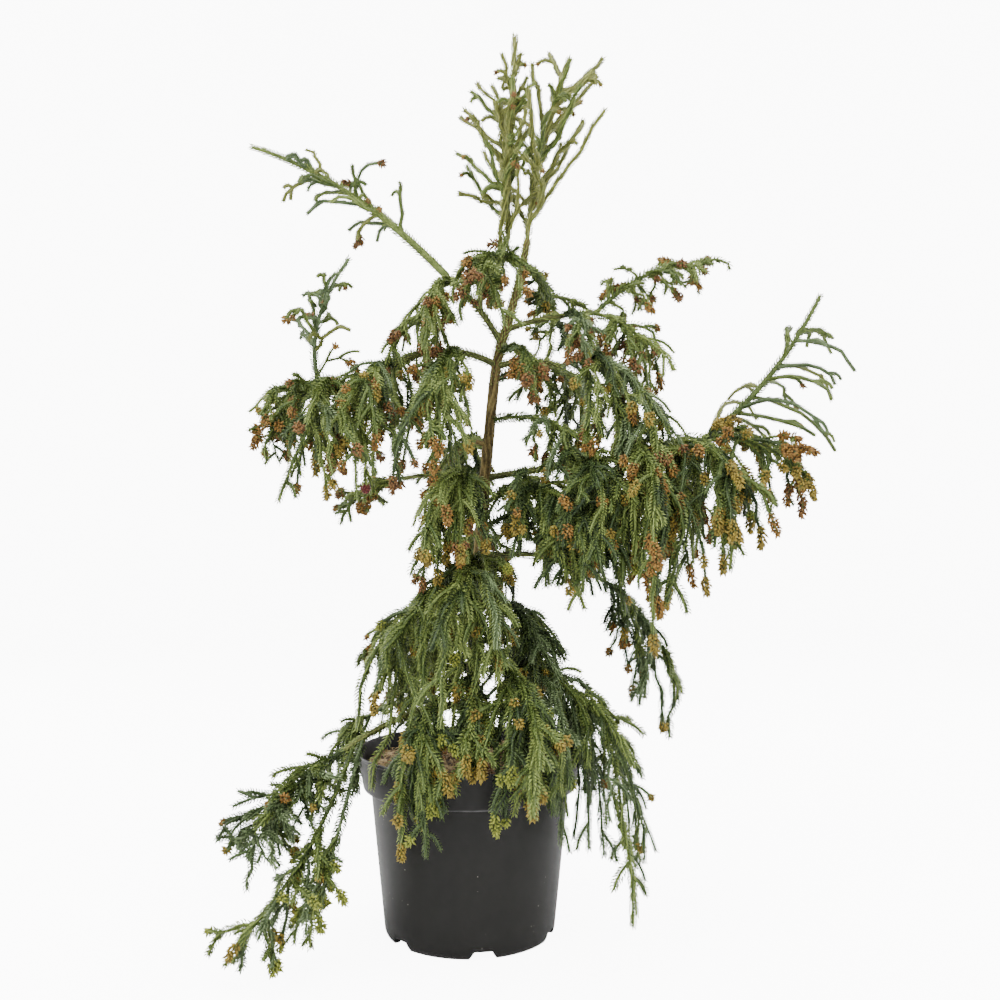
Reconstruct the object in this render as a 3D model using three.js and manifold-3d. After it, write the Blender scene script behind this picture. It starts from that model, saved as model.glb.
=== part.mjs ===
// Potted weeping cryptomeria: a young conifer with whip-like leaders and curtains
// of hanging twigs, standing in a five litre nursery pot.
// Units are millimetres. The origin is the centre of the pot's underside, +Z is up,
// and the plant's open face looks along -Y.
import * as THREE from 'three';
import { mergeVertices } from 'three/addons/utils/BufferGeometryUtils.js';
import Module from 'manifold-3d';

const wasm = await Module();
wasm.setup();

// ---- Pot, as [radius, height] sizes of a thin moulded tub ----
const POT_HEIGHT = 179;
const POT_WALL = 1.8;
const RIM_RADIUS = 113;
const COLLAR_FOOT_HEIGHT = 144;
const COLLAR_FOOT_RADIUS = 105.8;
const BODY_TOP_RADIUS = 98.4;
const BODY_FOOT_RADIUS = 84.6;
const FOOT_ROUNDING = 3.5;
const BASE_RISE = 7.5;
const FOOT_RING_RADIUS = 76;
const PAD_RADIUS = 28;
const DRAFT = 3;
const EDGE = 1;
const RIM_BAND = 3;
const NOTCH_COUNT = 6;
const NOTCH_HALF_WIDTH_FOOT = 13.4;
const NOTCH_HALF_WIDTH_TOP = 8.6;
const NOTCH_TURN_DEG = 10;
const DRAIN_HOLE_RADIUS = 6;
const DRAIN_CIRCLE_RADIUS = 52;
const DRAIN_SIDES = 8;
const NOTCH_OVERRUN = 3;
const ROUND_SEGMENTS = 28;

// ---- Compost ----
const SOIL_TOP = 168;
const SOIL_EDGE_DROP = 4;
const SOIL_LUMP = 2.6;
const FINE_LUMP_SHARE = 0.6;
const LUMP_WAVES = { x: 0.41, y: 0.37, fine: 0.9, shift: 1.3 };
const SOIL_RINGS = [90, 66, 42];
const COLLAR_OF_FLAT_SOIL = 20;
const FIT_GAP = 0.3;
const TRUNK_CUT_BOX = [60, 20];

// ---- Growth rule: twigs stand round their stem by the golden share; each draw is jittered ----
const GOLDEN_SHARE = 0.618034;
const HANGING_FACE = 90;
const HANGING_SPREAD = 300;
const UPRIGHT_SHARE = 0.8;
const PLACE_JITTER = 0.4;
const FAN_JITTER = 0.1;
const LEAN_RANGE = [0.8, 1.2];
const REACH_RANGE = [0.78, 1.16];
const WANDER = 0.22;
const WEEP_AT_ROOT = 0.5;
const HOOK_STEPS = 2;
const TWIG_STEPS = 6;
const SHORTEST_TWIG_STEPS = 3;
const CROWDED_STEPS = 3;
const SISTER_OVERLAP = 0.3;

// ---- Room: how far twigs keep from strangers, the floor and the pot ----
const CLEARANCE = 1.1;
const FLOOR_CLEARANCE = 7;
const RIM_SLIDE = 12;
const PASSING_SHARE = 0.9;
const STEM_STEPS = 8;
const PARALLEL_TOLERANCE = 1e-9;

// ---- Facets ----
const TWIG_SIDES = 3;
const STEM_SIDES = 3;
const TWIST_PER_RING = 0.55;
const SEAM_TOLERANCE = 1e-4;
const SEARCH_STEPS = 30;

// Twig kinds: radius of the green core, of the needle tips, teeth along the twig, colour.
const CORD = { core: 2.9, needle: 2.9, teeth: 0, colour: 'fresh' };
const WHIP = { core: 2.6, needle: 4.8, teeth: 2, colour: 'fresh' };
const ROPE = { core: 2.4, needle: 7.0, teeth: 2, colour: 'leaf' };
const BUSH = { core: 3.4, needle: 10.8, teeth: 2, colour: 'deep' };

const COLOURS = {
  pot: 0x2b2b29, soil: 0x4a3524, bark: 0x6d5a33, fresh: 0x8d9c45, leaf: 0x5f7a3c, deep: 0x44602f,
};
const PLASTIC_ROUGHNESS = 0.45;
const PLANT_ROUGHNESS = 0.8;

const at = (x, y, z) => new THREE.Vector3(x, y, z);
const mix = (from, to, share) => from + (to - from) * share;
const DOWN = at(0, 0, -1);
const ACROSS_LIMBS = at(0.37, -0.91, 0.18);

// ---- Trunk: leans to the right as it climbs, then runs up as the right-hand leader ----
const TRUNK_LINE = [
  at(0, 0, SOIL_TOP - 6), at(4, -1, 270), at(12, 0, 410), at(18, 1, 482),
  at(27, 3, 564), at(39, 4, 608), at(50, 5, 650), at(58, 5, 690),
];
const TRUNK_FOOT_RADIUS = 7;
const TRUNK_TOP_RADIUS = 2.7;
const TRUNK_SIDES = 8;
const TRUNK_RINGS = 11;
const ROOT_FLARE = { extra: 5, fade: 13, height: 26, lobes: 3, lobeDepth: 0.16 };

// ---- Boughs: parent limb, where on it (trunk: height in mm; bough: share of its length),
// end point, rise of the middle above the straight line, radius at both ends ----
const BOUGHS = [
  { name: 'left_limb', on: 'trunk', from: 584, to: [-24, -8, 650], rise: [0, 0, 7],
    radius: [3.0, 2.3] },
  { name: 'left_leader', on: 'left_limb', from: 0.4, to: [39, 6, 690], rise: [-7, 0, 0],
    radius: [2.6, 2.3] },
  { name: 'upper_right_bough', on: 'trunk', from: 598, to: [128, 12, 616], rise: [0, 0, 4],
    radius: [2.7, 2.2] },
  { name: 'middle_right_bough', on: 'trunk', from: 561, to: [92, -28, 557], rise: [0, 0, 5],
    radius: [2.8, 2.3] },
  { name: 'middle_left_bough', on: 'trunk', from: 562, to: [-84, -24, 553], rise: [0, 0, 17],
    radius: [3.0, 2.4] },
  { name: 'outer_left_bough', on: 'middle_left_bough', from: 1, to: [-150, -40, 527], rise: [0, 0, -3],
    radius: [2.2, 1.9] },
  { name: 'low_left_twig_bough', on: 'trunk', from: 447, to: [-70, 24, 449], rise: [0, 0, 4],
    radius: [2.2, 1.8] },
  { name: 'lower_right_bough', on: 'trunk', from: 449, to: [228, -14, 482], rise: [0, -2, 0],
    radius: [3.2, 2.4] },
  { name: 'lowest_right_bough', on: 'trunk', from: 368, to: [135, 28, 345], rise: [0, 0, 14],
    radius: [2.4, 1.9] },
  { name: 'lowest_left_bough', on: 'trunk', from: 224, to: [-120, -56, 187], rise: [0, 0, 12],
    radius: [3.0, 2.4] },
];
const BOUGH_SIDES = 5;
const BOUGH_RINGS = 4;
const SINK_SHARE = 0.985;

// ---- Masses: a stem as for a bough, then its twigs. count: twigs; span: part of the stem that
// bears them; reach: twig length at the span's ends; lean: degrees off the stem; weep: pull
// towards the ground (below zero, towards the light); hook: curl of the tip; cones: share of
// twigs that end in a cluster of cones; leafy: radius of the needles on the stem itself; face and
// spread: middle and width of the fan of twigs in degrees (0 sideways, 90 under the stem) ----
const MASSES = [
  { name: 'crown_right', on: 'trunk', from: 1, to: [100, 12, 873], rise: [-6, 0, 0], kind: CORD, seed: 11,
    count: 14, span: [0.02, 0.88], reach: [126, 50], lean: 36, weep: -0.1, hook: 0, cones: 0.03, face: 0,
    spread: 230, leafy: 3.2 },
  { name: 'crown_middle', on: 'left_leader', from: 0.8, to: [45, -6, 889], rise: [3, -12, 0], kind: CORD,
    seed: 12, count: 8, span: [0.2, 0.84], reach: [78, 28], lean: 22, weep: -0.12, hook: 0.1, cones: 0,
    leafy: 2.6 },
  { name: 'crown_left', on: 'left_leader', from: 1, to: [32, 8, 822], rise: [2, 0, 0], kind: CORD,
    seed: 13, count: 13, span: [0.02, 0.9], reach: [86, 56], lean: 46, weep: -0.08, hook: 0.12,
    cones: 0.06, face: 180, spread: 270, leafy: 3.4 },
  { name: 'left_whip', on: 'left_limb', from: 1, to: [-214, -24, 773], rise: [0, 0, 18], kind: WHIP,
    seed: 14, count: 11, span: [0.2, 0.72], reach: [66, 40], lean: 40, weep: 0.02, hook: 0.5, cones: 0.12,
    face: 90, spread: 360, leafy: 6 },
  { name: 'left_upright', on: 'outer_left_bough', from: 0.9, to: [-115, -40, 661], rise: [-18, 0, 0],
    kind: WHIP, seed: 15, count: 9, span: [0.3, 0.8], reach: [54, 30], lean: 44, weep: -0.02, hook: 0.6,
    cones: 0.04, face: 180, spread: 300, leafy: 3.2 },
  { name: 'right_whip', on: 'lower_right_bough', from: 1, to: [344, -24, 628], rise: [8, 0, -9],
    kind: WHIP, seed: 16, count: 11, span: [0.04, 0.84], reach: [142, 54], lean: 50, weep: 0.22,
    hook: 0.2, cones: 0, face: 90, spread: 240, leafy: 5 },
  { name: 'upper_left', on: 'left_limb', from: 0.86, to: [-50, -34, 602], rise: [0, 0, 14], kind: ROPE,
    seed: 21, count: 9, span: [0.25, 1], reach: [56, 84], lean: 50, weep: 0.8, hook: 0, cones: 0.37,
    leafy: 3.2 },
  { name: 'upper_front', on: 'trunk', from: 662, to: [8, -62, 650], rise: [0, 0, 10], kind: BUSH,
    seed: 22, count: 8, span: [0.25, 1], reach: [54, 74], lean: 55, weep: 0.45, hook: 0, cones: 0.19,
    leafy: 3.4 },
  { name: 'upper_back', on: 'trunk', from: 660, to: [94, 78, 614], rise: [0, 0, 16], kind: BUSH, seed: 23,
    count: 6, span: [0.25, 1], reach: [42, 54], lean: 55, weep: 0.3, hook: 0, cones: 0.12, leafy: 3.4 },
  { name: 'upper_right', on: 'upper_right_bough', from: 1, to: [241, 46, 670], rise: [0, 0, 16],
    kind: ROPE, seed: 24, count: 9, span: [0.08, 1], reach: [52, 34], lean: 46, weep: 0.35, hook: 0,
    cones: 0.12, spread: 340, leafy: 4.4 },
  { name: 'upper_right_fall', on: 'upper_right_bough', from: 0.9, to: [176, -14, 580], rise: [0, 0, 8],
    kind: ROPE, seed: 25, count: 8, span: [0.3, 1], reach: [48, 68], lean: 50, weep: 0.8, hook: 0,
    cones: 0.31, leafy: 3.0 },
  { name: 'upper_right_inner', on: 'upper_right_bough', from: 0.66, to: [112, -56, 590], rise: [0, 0, 8],
    kind: ROPE, seed: 26, count: 5, span: [0.4, 1], reach: [40, 50], lean: 50, weep: 0.9, hook: 0,
    cones: 0.43, leafy: 2.8 },
  { name: 'fork_cones', on: 'trunk', from: 574, to: [62, -46, 560], rise: [0, 0, 10], kind: ROPE,
    seed: 27, count: 5, span: [0.45, 1], reach: [30, 42], lean: 50, weep: 0.9, hook: 0, cones: 0.62,
    leafy: 2.6 },
  { name: 'middle_right', on: 'middle_right_bough', from: 1, to: [176, -62, 512], rise: [0, 0, 24],
    kind: BUSH, seed: 28, count: 12, span: [0.06, 1], reach: [84, 104], lean: 50, weep: 0.8, hook: 0,
    cones: 0.28, leafy: 5 },
  { name: 'middle_right_back', on: 'trunk', from: 546, to: [130, 112, 548], rise: [0, 0, 20], kind: BUSH,
    seed: 29, count: 8, span: [0.3, 1], reach: [70, 92], lean: 52, weep: 0.7, hook: 0, cones: 0.19,
    leafy: 3.4 },
  { name: 'middle_right_inner', on: 'trunk', from: 506, to: [104, -52, 488], rise: [0, 0, 10], kind: ROPE,
    seed: 30, count: 6, span: [0.55, 1], reach: [50, 62], lean: 50, weep: 0.9, hook: 0, cones: 0.43,
    leafy: 2.6 },
  { name: 'middle_left_inner', on: 'middle_left_bough', from: 0.34, to: [-32, -84, 528], rise: [0, 0, 14],
    kind: BUSH, seed: 31, count: 9, span: [0.3, 1], reach: [70, 104], lean: 50, weep: 0.8, hook: 0,
    cones: 0.31, leafy: 3.4 },
  { name: 'middle_left', on: 'middle_left_bough', from: 0.92, to: [-118, -86, 508], rise: [0, 0, 14],
    kind: BUSH, seed: 32, count: 11, span: [0.2, 1], reach: [74, 96], lean: 54, weep: 0.7, hook: 0,
    cones: 0.25, leafy: 3.6 },
  { name: 'left_inner_fall', on: 'outer_left_bough', from: 0.62, to: [-146, -104, 492], rise: [0, 0, 22],
    kind: ROPE, seed: 58, count: 8, span: [0.1, 1], reach: [66, 84], lean: 50, weep: 0.7, hook: 0,
    cones: 0.25, leafy: 3.4 },
  { name: 'middle_left_back', on: 'middle_left_bough', from: 0.72, to: [-96, 66, 524], rise: [0, 0, 16],
    kind: BUSH, seed: 33, count: 8, span: [0.25, 1], reach: [66, 88], lean: 54, weep: 0.7, hook: 0,
    cones: 0.19, leafy: 3.4 },
  { name: 'outer_left', on: 'outer_left_bough', from: 1, to: [-186, -46, 494], rise: [0, 0, 24],
    kind: ROPE, seed: 34, count: 11, span: [0.02, 0.94], reach: [76, 50], lean: 58, weep: 0.55, hook: 0,
    cones: 0.2, spread: 360, leafy: 3.4 },
  { name: 'left_column', on: 'trunk', from: 430, to: [-18, -74, 444], rise: [0, 0, 14], kind: BUSH,
    seed: 35, count: 9, span: [0.35, 1], reach: [84, 112], lean: 34, weep: 0.9, hook: 0, cones: 0.37,
    leafy: 3.2 },
  { name: 'low_left_twigs', on: 'low_left_twig_bough', from: 1, to: [-128, 34, 428], rise: [0, 0, 4],
    kind: ROPE, seed: 36, count: 4, span: [0.1, 1], reach: [40, 40], lean: 44, weep: 0.3, hook: 0,
    cones: 0.19, leafy: 2.8 },
  { name: 'outer_right', on: 'lower_right_bough', from: 0.92, to: [318, -46, 458], rise: [0, -12, 16],
    kind: ROPE, seed: 37, count: 8, span: [0.2, 1], reach: [54, 62], lean: 48, weep: 0.28, hook: 0,
    cones: 0.22, spread: 340, leafy: 3.2 },
  { name: 'right_fall_inner', on: 'lower_right_bough', from: 0.6, to: [186, -92, 436], rise: [0, 0, 22],
    kind: BUSH, seed: 38, count: 12, span: [0.2, 1], reach: [110, 150], lean: 52, weep: 0.9, hook: 0,
    cones: 0.31, leafy: 4.2 },
  { name: 'right_fall_outer', on: 'lower_right_bough', from: 0.8, to: [250, -90, 444], rise: [0, 0, 20],
    kind: BUSH, seed: 39, count: 12, span: [0.2, 1], reach: [118, 86], lean: 52, weep: 0.9, hook: 0,
    cones: 0.31, leafy: 4.2 },
  { name: 'right_fall_back', on: 'lower_right_bough', from: 0.8, to: [232, 78, 438], rise: [0, 0, 20],
    kind: BUSH, seed: 40, count: 8, span: [0.2, 1], reach: [78, 98], lean: 52, weep: 0.8, hook: 0,
    cones: 0.25, leafy: 3.6 },
  { name: 'centre_right', on: 'trunk', from: 420, to: [106, -74, 410], rise: [0, 0, 26], kind: BUSH,
    seed: 41, count: 11, span: [0.25, 1], reach: [76, 100], lean: 50, weep: 0.7, hook: 0, cones: 0.12,
    leafy: 4 },
  { name: 'centre_right_upper', on: 'lower_right_bough', from: 0.36, to: [128, -82, 446],
    rise: [0, 0, 14], kind: BUSH, seed: 59, count: 10, span: [0.1, 1], reach: [84, 112], lean: 48,
    weep: 0.8, hook: 0, cones: 0.15, leafy: 4 },
  { name: 'centre_right_back', on: 'trunk', from: 398, to: [130, 98, 398], rise: [0, 0, 18], kind: BUSH,
    seed: 42, count: 9, span: [0.3, 1], reach: [70, 96], lean: 52, weep: 0.7, hook: 0, cones: 0.15,
    leafy: 3.6 },
  { name: 'right_strands', on: 'lowest_right_bough', from: 1, to: [194, 34, 262], rise: [0, 0, 14],
    kind: ROPE, seed: 43, count: 8, span: [0.1, 1], reach: [58, 92], lean: 44, weep: 0.9, hook: 0,
    cones: 0.31, leafy: 2.8 },
  { name: 'centre_front', on: 'trunk', from: 352, to: [-2, -100, 336], rise: [0, 0, 24], kind: BUSH,
    seed: 44, count: 10, span: [0.25, 1], reach: [100, 132], lean: 50, weep: 0.9, hook: 0, cones: 0.19,
    leafy: 4.4 },
  { name: 'centre_right_low', on: 'trunk', from: 322, to: [72, -30, 294], rise: [0, 0, 14], kind: ROPE,
    seed: 60, count: 9, span: [0.35, 1], reach: [58, 84], lean: 48, weep: 0.8, hook: 0, cones: 0.06,
    leafy: 3.4 },
  { name: 'lower_left', on: 'trunk', from: 330, to: [-68, -84, 292], rise: [0, 0, 30], kind: BUSH,
    seed: 45, count: 10, span: [0.2, 1], reach: [88, 124], lean: 50, weep: 0.8, hook: 0, cones: 0.09,
    leafy: 4.2 },
  { name: 'lower_left_back', on: 'trunk', from: 318, to: [-92, 86, 282], rise: [0, 0, 28], kind: BUSH,
    seed: 46, count: 7, span: [0.25, 1], reach: [62, 88], lean: 50, weep: 0.7, hook: 0, cones: 0.09,
    leafy: 3.6 },
  { name: 'back_middle', on: 'trunk', from: 372, to: [12, 140, 350], rise: [0, 0, 24], kind: BUSH,
    seed: 47, count: 8, span: [0.25, 1], reach: [86, 118], lean: 50, weep: 0.8, hook: 0, cones: 0.19,
    leafy: 3.6 },
  { name: 'back_upper', on: 'trunk', from: 474, to: [-16, 116, 462], rise: [0, 0, 20], kind: BUSH,
    seed: 48, count: 7, span: [0.3, 1], reach: [68, 92], lean: 50, weep: 0.7, hook: 0, cones: 0.19,
    leafy: 3.4 },
  { name: 'low_front_left', on: 'trunk', from: 238, to: [-46, -134, 206], rise: [0, 0, 24], kind: BUSH,
    seed: 49, count: 8, span: [0.7, 1], reach: [70, 104], lean: 46, weep: 1, hook: 0, cones: 0.3,
    leafy: 3.4 },
  { name: 'low_front', on: 'trunk', from: 262, to: [4, -128, 214], rise: [0, 0, 24], kind: BUSH, seed: 50,
    count: 6, span: [0.5, 1], reach: [43, 59], lean: 46, weep: 0.8, hook: 0, cones: 0.4, leafy: 3.4 },
  { name: 'low_front_right', on: 'trunk', from: 268, to: [68, -136, 221], rise: [0, 0, 22], kind: BUSH,
    seed: 51, count: 9, span: [0.5, 1], reach: [78, 114], lean: 48, weep: 0.8, hook: 0, cones: 0.09,
    leafy: 4 },
  { name: 'low_right', on: 'trunk', from: 252, to: [136, -76, 206], rise: [0, 0, 30], kind: ROPE,
    seed: 52, count: 13, span: [0.4, 1], reach: [112, 192], lean: 44, weep: 0.9, hook: 0, cones: 0,
    leafy: 4 },
  { name: 'low_left_fan', on: 'lowest_left_bough', from: 1, to: [-200, -92, 120], rise: [0, 0, 8],
    kind: ROPE, seed: 53, count: 13, span: [0.15, 1], reach: [48, 62], lean: 48, weep: 0.2, hook: 0,
    cones: 0.06, leafy: 3.4 },
  { name: 'low_left_fall', on: 'lowest_left_bough', from: 0.93, to: [-196, -152, 44], rise: [7, 0, -12],
    kind: ROPE, seed: 74, count: 10, span: [0.36, 1], reach: [62, 58], lean: 50, weep: 0.35, hook: 0,
    cones: 0.2, leafy: 3.2 },
  { name: 'low_left_inner', on: 'lowest_left_bough', from: 0.86, to: [-132, -132, 62], rise: [0, 0, 0],
    kind: ROPE, seed: 61, count: 6, span: [0.55, 1], reach: [50, 58], lean: 46, weep: 0.45, hook: 0,
    cones: 0.12, face: 0, spread: 170, leafy: 3 },
  { name: 'rim_left_strands', on: 'trunk', from: 212, to: [-126, 30, 192], rise: [0, 0, 20], kind: ROPE,
    seed: 55, count: 4, span: [0.8, 1], reach: [76, 104], lean: 40, weep: 0.7, hook: 0, cones: 0,
    leafy: 2.4 },
  { name: 'low_back_left', on: 'trunk', from: 250, to: [-70, 134, 222], rise: [0, 0, 26], kind: BUSH,
    seed: 56, count: 6, span: [0.5, 1], reach: [58, 84], lean: 48, weep: 0.5, hook: 0, cones: 0.12,
    leafy: 3.6 },
  { name: 'low_back_right', on: 'trunk', from: 262, to: [84, 118, 216], rise: [0, 0, 26], kind: BUSH,
    seed: 57, count: 6, span: [0.35, 1], reach: [58, 84], lean: 48, weep: 0.5, hook: 0, cones: 0.12,
    leafy: 3.6 },
];
const STEM_TIP_RADIUS = 1.3;
const STEM_TIP_NEEDLE = 1.9;
const STEM_ROOT_SHARE = 0.92;
const STEM_ROOT_RADIUS = 2.4;
const STEM_TOOTH = { pitch: 50, first: 0.8, bareEnd: 0.3, valley: 0.25 };
const TWIG_TOOTH = { peak: 0.55, valley: 0.85, taper: 0.72 };
const CONE_RADIUS = 5.6;
const CONE_LENGTH = [16, 30];
const CONE_OVERHANG = 0.4;
const CONE_SET_BACK = 0.1;
const SMOOTH_TWIG = [[0.3, 1], [0.7, 0.85], [0.87, 0.8]];

// ======================= Solids from three.js geometry =======================

// Closed solid of a three.js geometry: seams merged, slivers dropped, faces turned outwards.
function solidOf(geometry) {
  const shape = geometry.clone();
  shape.deleteAttribute('normal');
  shape.deleteAttribute('uv');
  const merged = mergeVertices(shape, SEAM_TOLERANCE);
  const corners = Float32Array.from(merged.getAttribute('position').array);
  const index = merged.getIndex().array;
  const faces = [];
  const [a, b, c] = [at(0, 0, 0), at(0, 0, 0), at(0, 0, 0)];
  let volume = 0;
  for (let i = 0; i < index.length; i += 3) {
    const [p, q, r] = [index[i], index[i + 1], index[i + 2]];
    if (p === q || q === r || r === p) continue;
    faces.push(p, q, r);
    b.fromArray(corners, 3 * q).cross(c.fromArray(corners, 3 * r));
    volume += a.fromArray(corners, 3 * p).dot(b);
  }
  if (volume < 0) {
    for (let i = 0; i < faces.length; i += 3) [faces[i + 1], faces[i + 2]] = [faces[i + 2], faces[i + 1]];
  }
  const mesh = new wasm.Mesh({ numProp: 3, vertProperties: corners, triVerts: Uint32Array.from(faces) });
  return new wasm.Manifold(mesh);
}

// The geometry of a joined or cut solid.
function geometryOf(solid) {
  const { vertProperties, triVerts } = solid.getMesh();
  const geometry = new THREE.BufferGeometry();
  geometry.setAttribute('position', new THREE.BufferAttribute(vertProperties, 3));
  geometry.setIndex(new THREE.BufferAttribute(triVerts, 1));
  geometry.computeVertexNormals();
  return geometry;
}

// The largest connected piece: loose scraps of a cut are dropped.
function largestPiece(solid) {
  return solid.decompose().reduce((best, piece) => (piece.volume() > best.volume() ? piece : best));
}

// A lathe of [station, radius] rows, station 0 to 1 along the curve, bent to follow it.
// lobes(station, angle) may scale the radius, twist turns each ring on the last one, and
// pointed ends the solid in a point instead of a flat face.
function bentLathe(curve, profile, sides, { twist = 0, lobes = () => 1, pointed = false } = {}) {
  const rows = [[pointed ? 0 : profile[0][0], 0], ...profile, [pointed ? 1 : profile.at(-1)[0], 0]];
  const outline = rows.map(([station, radius]) => new THREE.Vector2(radius, station));
  const geometry = new THREE.LatheGeometry(outline, sides);
  const position = geometry.getAttribute('position');
  const length = curve.getLength();
  const normal = at(0, 0, 0);
  rows.forEach(([station], ring) => {
    const inside = Math.min(Math.max(station, 0), 1);
    const tangent = curve.getTangent(inside);
    const centre = curve.getPoint(inside).addScaledVector(tangent, (station - inside) * length);
    if (ring === 0) normal.copy(ACROSS_LIMBS);
    normal.addScaledVector(tangent, -normal.dot(tangent)).normalize();
    const across = tangent.clone().cross(normal);
    for (let side = 0; side <= sides; side++) {
      const corner = side * rows.length + ring;
      const angle = (side % sides) / sides * 2 * Math.PI + ring * twist;
      const radius = rows[ring][1] * lobes(station, angle);
      const spot = centre.clone().addScaledVector(normal, radius * Math.cos(angle))
        .addScaledVector(across, radius * Math.sin(angle));
      position.setXYZ(corner, spot.x, spot.y, spot.z);
    }
  });
  return solidOf(geometry);
}

// A lathe of [radius, height] rows about the Z axis.
function turned(rows) {
  const points = rows.map(([radius, height]) => new THREE.Vector2(radius, height));
  return new THREE.LatheGeometry(points, ROUND_SEGMENTS).rotateX(Math.PI / 2);
}

// ======================= Pot and compost =======================

function potSolid() {
  const innerFoot = BODY_FOOT_RADIUS - POT_WALL;
  const innerTop = BODY_TOP_RADIUS - POT_WALL;
  const floorTop = BASE_RISE + POT_WALL;
  const tub = turned([
    [0, 0], [PAD_RADIUS, 0], [PAD_RADIUS + DRAFT, BASE_RISE], [FOOT_RING_RADIUS, BASE_RISE],
    [FOOT_RING_RADIUS + DRAFT / 2, 0], [BODY_FOOT_RADIUS - FOOT_ROUNDING / 2, 0],
    [BODY_FOOT_RADIUS, FOOT_ROUNDING], [BODY_TOP_RADIUS, COLLAR_FOOT_HEIGHT - EDGE],
    [COLLAR_FOOT_RADIUS, COLLAR_FOOT_HEIGHT], [RIM_RADIUS - EDGE, POT_HEIGHT - RIM_BAND],
    [RIM_RADIUS, POT_HEIGHT - EDGE], [RIM_RADIUS - EDGE, POT_HEIGHT],
    [RIM_RADIUS - POT_WALL - EDGE, POT_HEIGHT - EDGE],
    [COLLAR_FOOT_RADIUS - POT_WALL, COLLAR_FOOT_HEIGHT + POT_WALL], [innerTop, COLLAR_FOOT_HEIGHT - EDGE],
    [innerFoot, floorTop], [PAD_RADIUS, floorTop], [PAD_RADIUS - DRAFT, POT_WALL], [0, POT_WALL],
  ]);
  let pot = solidOf(tub);
  const notchShape = new THREE.Shape([
    new THREE.Vector2(-NOTCH_HALF_WIDTH_FOOT, -EDGE), new THREE.Vector2(NOTCH_HALF_WIDTH_FOOT, -EDGE),
    new THREE.Vector2(NOTCH_HALF_WIDTH_TOP, BASE_RISE), new THREE.Vector2(-NOTCH_HALF_WIDTH_TOP, BASE_RISE),
  ]);
  const notchLength = BODY_FOOT_RADIUS - FOOT_RING_RADIUS + 2 * NOTCH_OVERRUN;
  for (let i = 0; i < NOTCH_COUNT; i++) {
    const turn = THREE.MathUtils.degToRad(NOTCH_TURN_DEG + i * 360 / NOTCH_COUNT);
    const notch = new THREE.ExtrudeGeometry(notchShape, { depth: notchLength, bevelEnabled: false })
      .rotateX(Math.PI / 2).translate(0, -FOOT_RING_RADIUS + NOTCH_OVERRUN, 0).rotateZ(turn);
    const hole = new THREE.CylinderGeometry(DRAIN_HOLE_RADIUS, DRAIN_HOLE_RADIUS, BASE_RISE, DRAIN_SIDES)
      .rotateX(Math.PI / 2).translate(0, -DRAIN_CIRCLE_RADIUS, BASE_RISE + POT_WALL / 2).rotateZ(turn);
    pot = pot.subtract(solidOf(notch)).subtract(solidOf(hole));
  }
  return pot;
}

// Compost: fills the pot below the rim, lumpy on top, flat round the trunk.
function soilSolid() {
  const floor = BASE_RISE + POT_WALL + FIT_GAP;
  const innerFoot = BODY_FOOT_RADIUS - POT_WALL - FIT_GAP;
  const innerTop = BODY_TOP_RADIUS - POT_WALL - FIT_GAP;
  const collarInner = COLLAR_FOOT_RADIUS - POT_WALL - 3 * FIT_GAP;
  const edgeHeight = SOIL_TOP - SOIL_EDGE_DROP;
  const climb = (edgeHeight - COLLAR_FOOT_HEIGHT) / (POT_HEIGHT - COLLAR_FOOT_HEIGHT);
  const edgeRadius = mix(collarInner, RIM_RADIUS - POT_WALL - EDGE - 3 * FIT_GAP, climb);
  const body = turned([
    [0, floor], [innerFoot, floor], [innerTop, COLLAR_FOOT_HEIGHT - EDGE + FIT_GAP],
    [collarInner, COLLAR_FOOT_HEIGHT + POT_WALL + 2 * FIT_GAP], [edgeRadius, edgeHeight],
    ...SOIL_RINGS.map((radius) => [radius, SOIL_TOP]), [COLLAR_OF_FLAT_SOIL, SOIL_TOP], [0, SOIL_TOP],
  ]);
  const position = body.getAttribute('position');
  for (let i = 0; i < position.count; i++) {
    const [x, y, z] = [position.getX(i), position.getY(i), position.getZ(i)];
    const radius = Math.hypot(x, y);
    if (z < SOIL_TOP - SEAM_TOLERANCE || radius < COLLAR_OF_FLAT_SOIL + EDGE) continue;
    const coarse = Math.sin(x * LUMP_WAVES.x + LUMP_WAVES.shift) * Math.sin(y * LUMP_WAVES.y);
    const lump = coarse + FINE_LUMP_SHARE * Math.sin((x + y) * LUMP_WAVES.fine);
    position.setZ(i, z + SOIL_LUMP * lump - SOIL_EDGE_DROP / 2 * radius / RIM_RADIUS);
  }
  return solidOf(body);
}

// ======================= Limbs =======================

const limbs = new Map();

function arch(from, to, rise) {
  const middle = from.clone().lerp(to, 0.5).addScaledVector(rise, 2);
  return new THREE.QuadraticBezierCurve3(from, middle, to);
}

const trunkCurve = new THREE.CatmullRomCurve3(TRUNK_LINE);

// Share of the trunk's curve at a height in millimetres.
function trunkShare(height) {
  let [low, high] = [0, 1];
  for (let i = 0; i < SEARCH_STEPS; i++) {
    const middle = (low + high) / 2;
    if (trunkCurve.getPoint(middle).z < height) low = middle;
    else high = middle;
  }
  return (low + high) / 2;
}

function shareOn(limb, from) {
  return limb === 'trunk' && from > 1 ? trunkShare(from) : from * SINK_SHARE;
}

// A limb's solid. swell grows it on all sides, to cut room for it in what meets it.
function limbSolid(limb, swell = 0) {
  const over = swell / limb.curve.getLength();
  const profile = [];
  for (let ring = 0; ring <= limb.rings; ring++) {
    const share = ring / limb.rings;
    const station = ring === 0 ? -over : ring === limb.rings ? 1 + over : share;
    profile.push([station, limb.radiusAt(share) + swell / Math.cos(Math.PI / limb.sides)]);
  }
  return bentLathe(limb.curve, profile, limb.sides, { lobes: limb.lobes });
}

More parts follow.
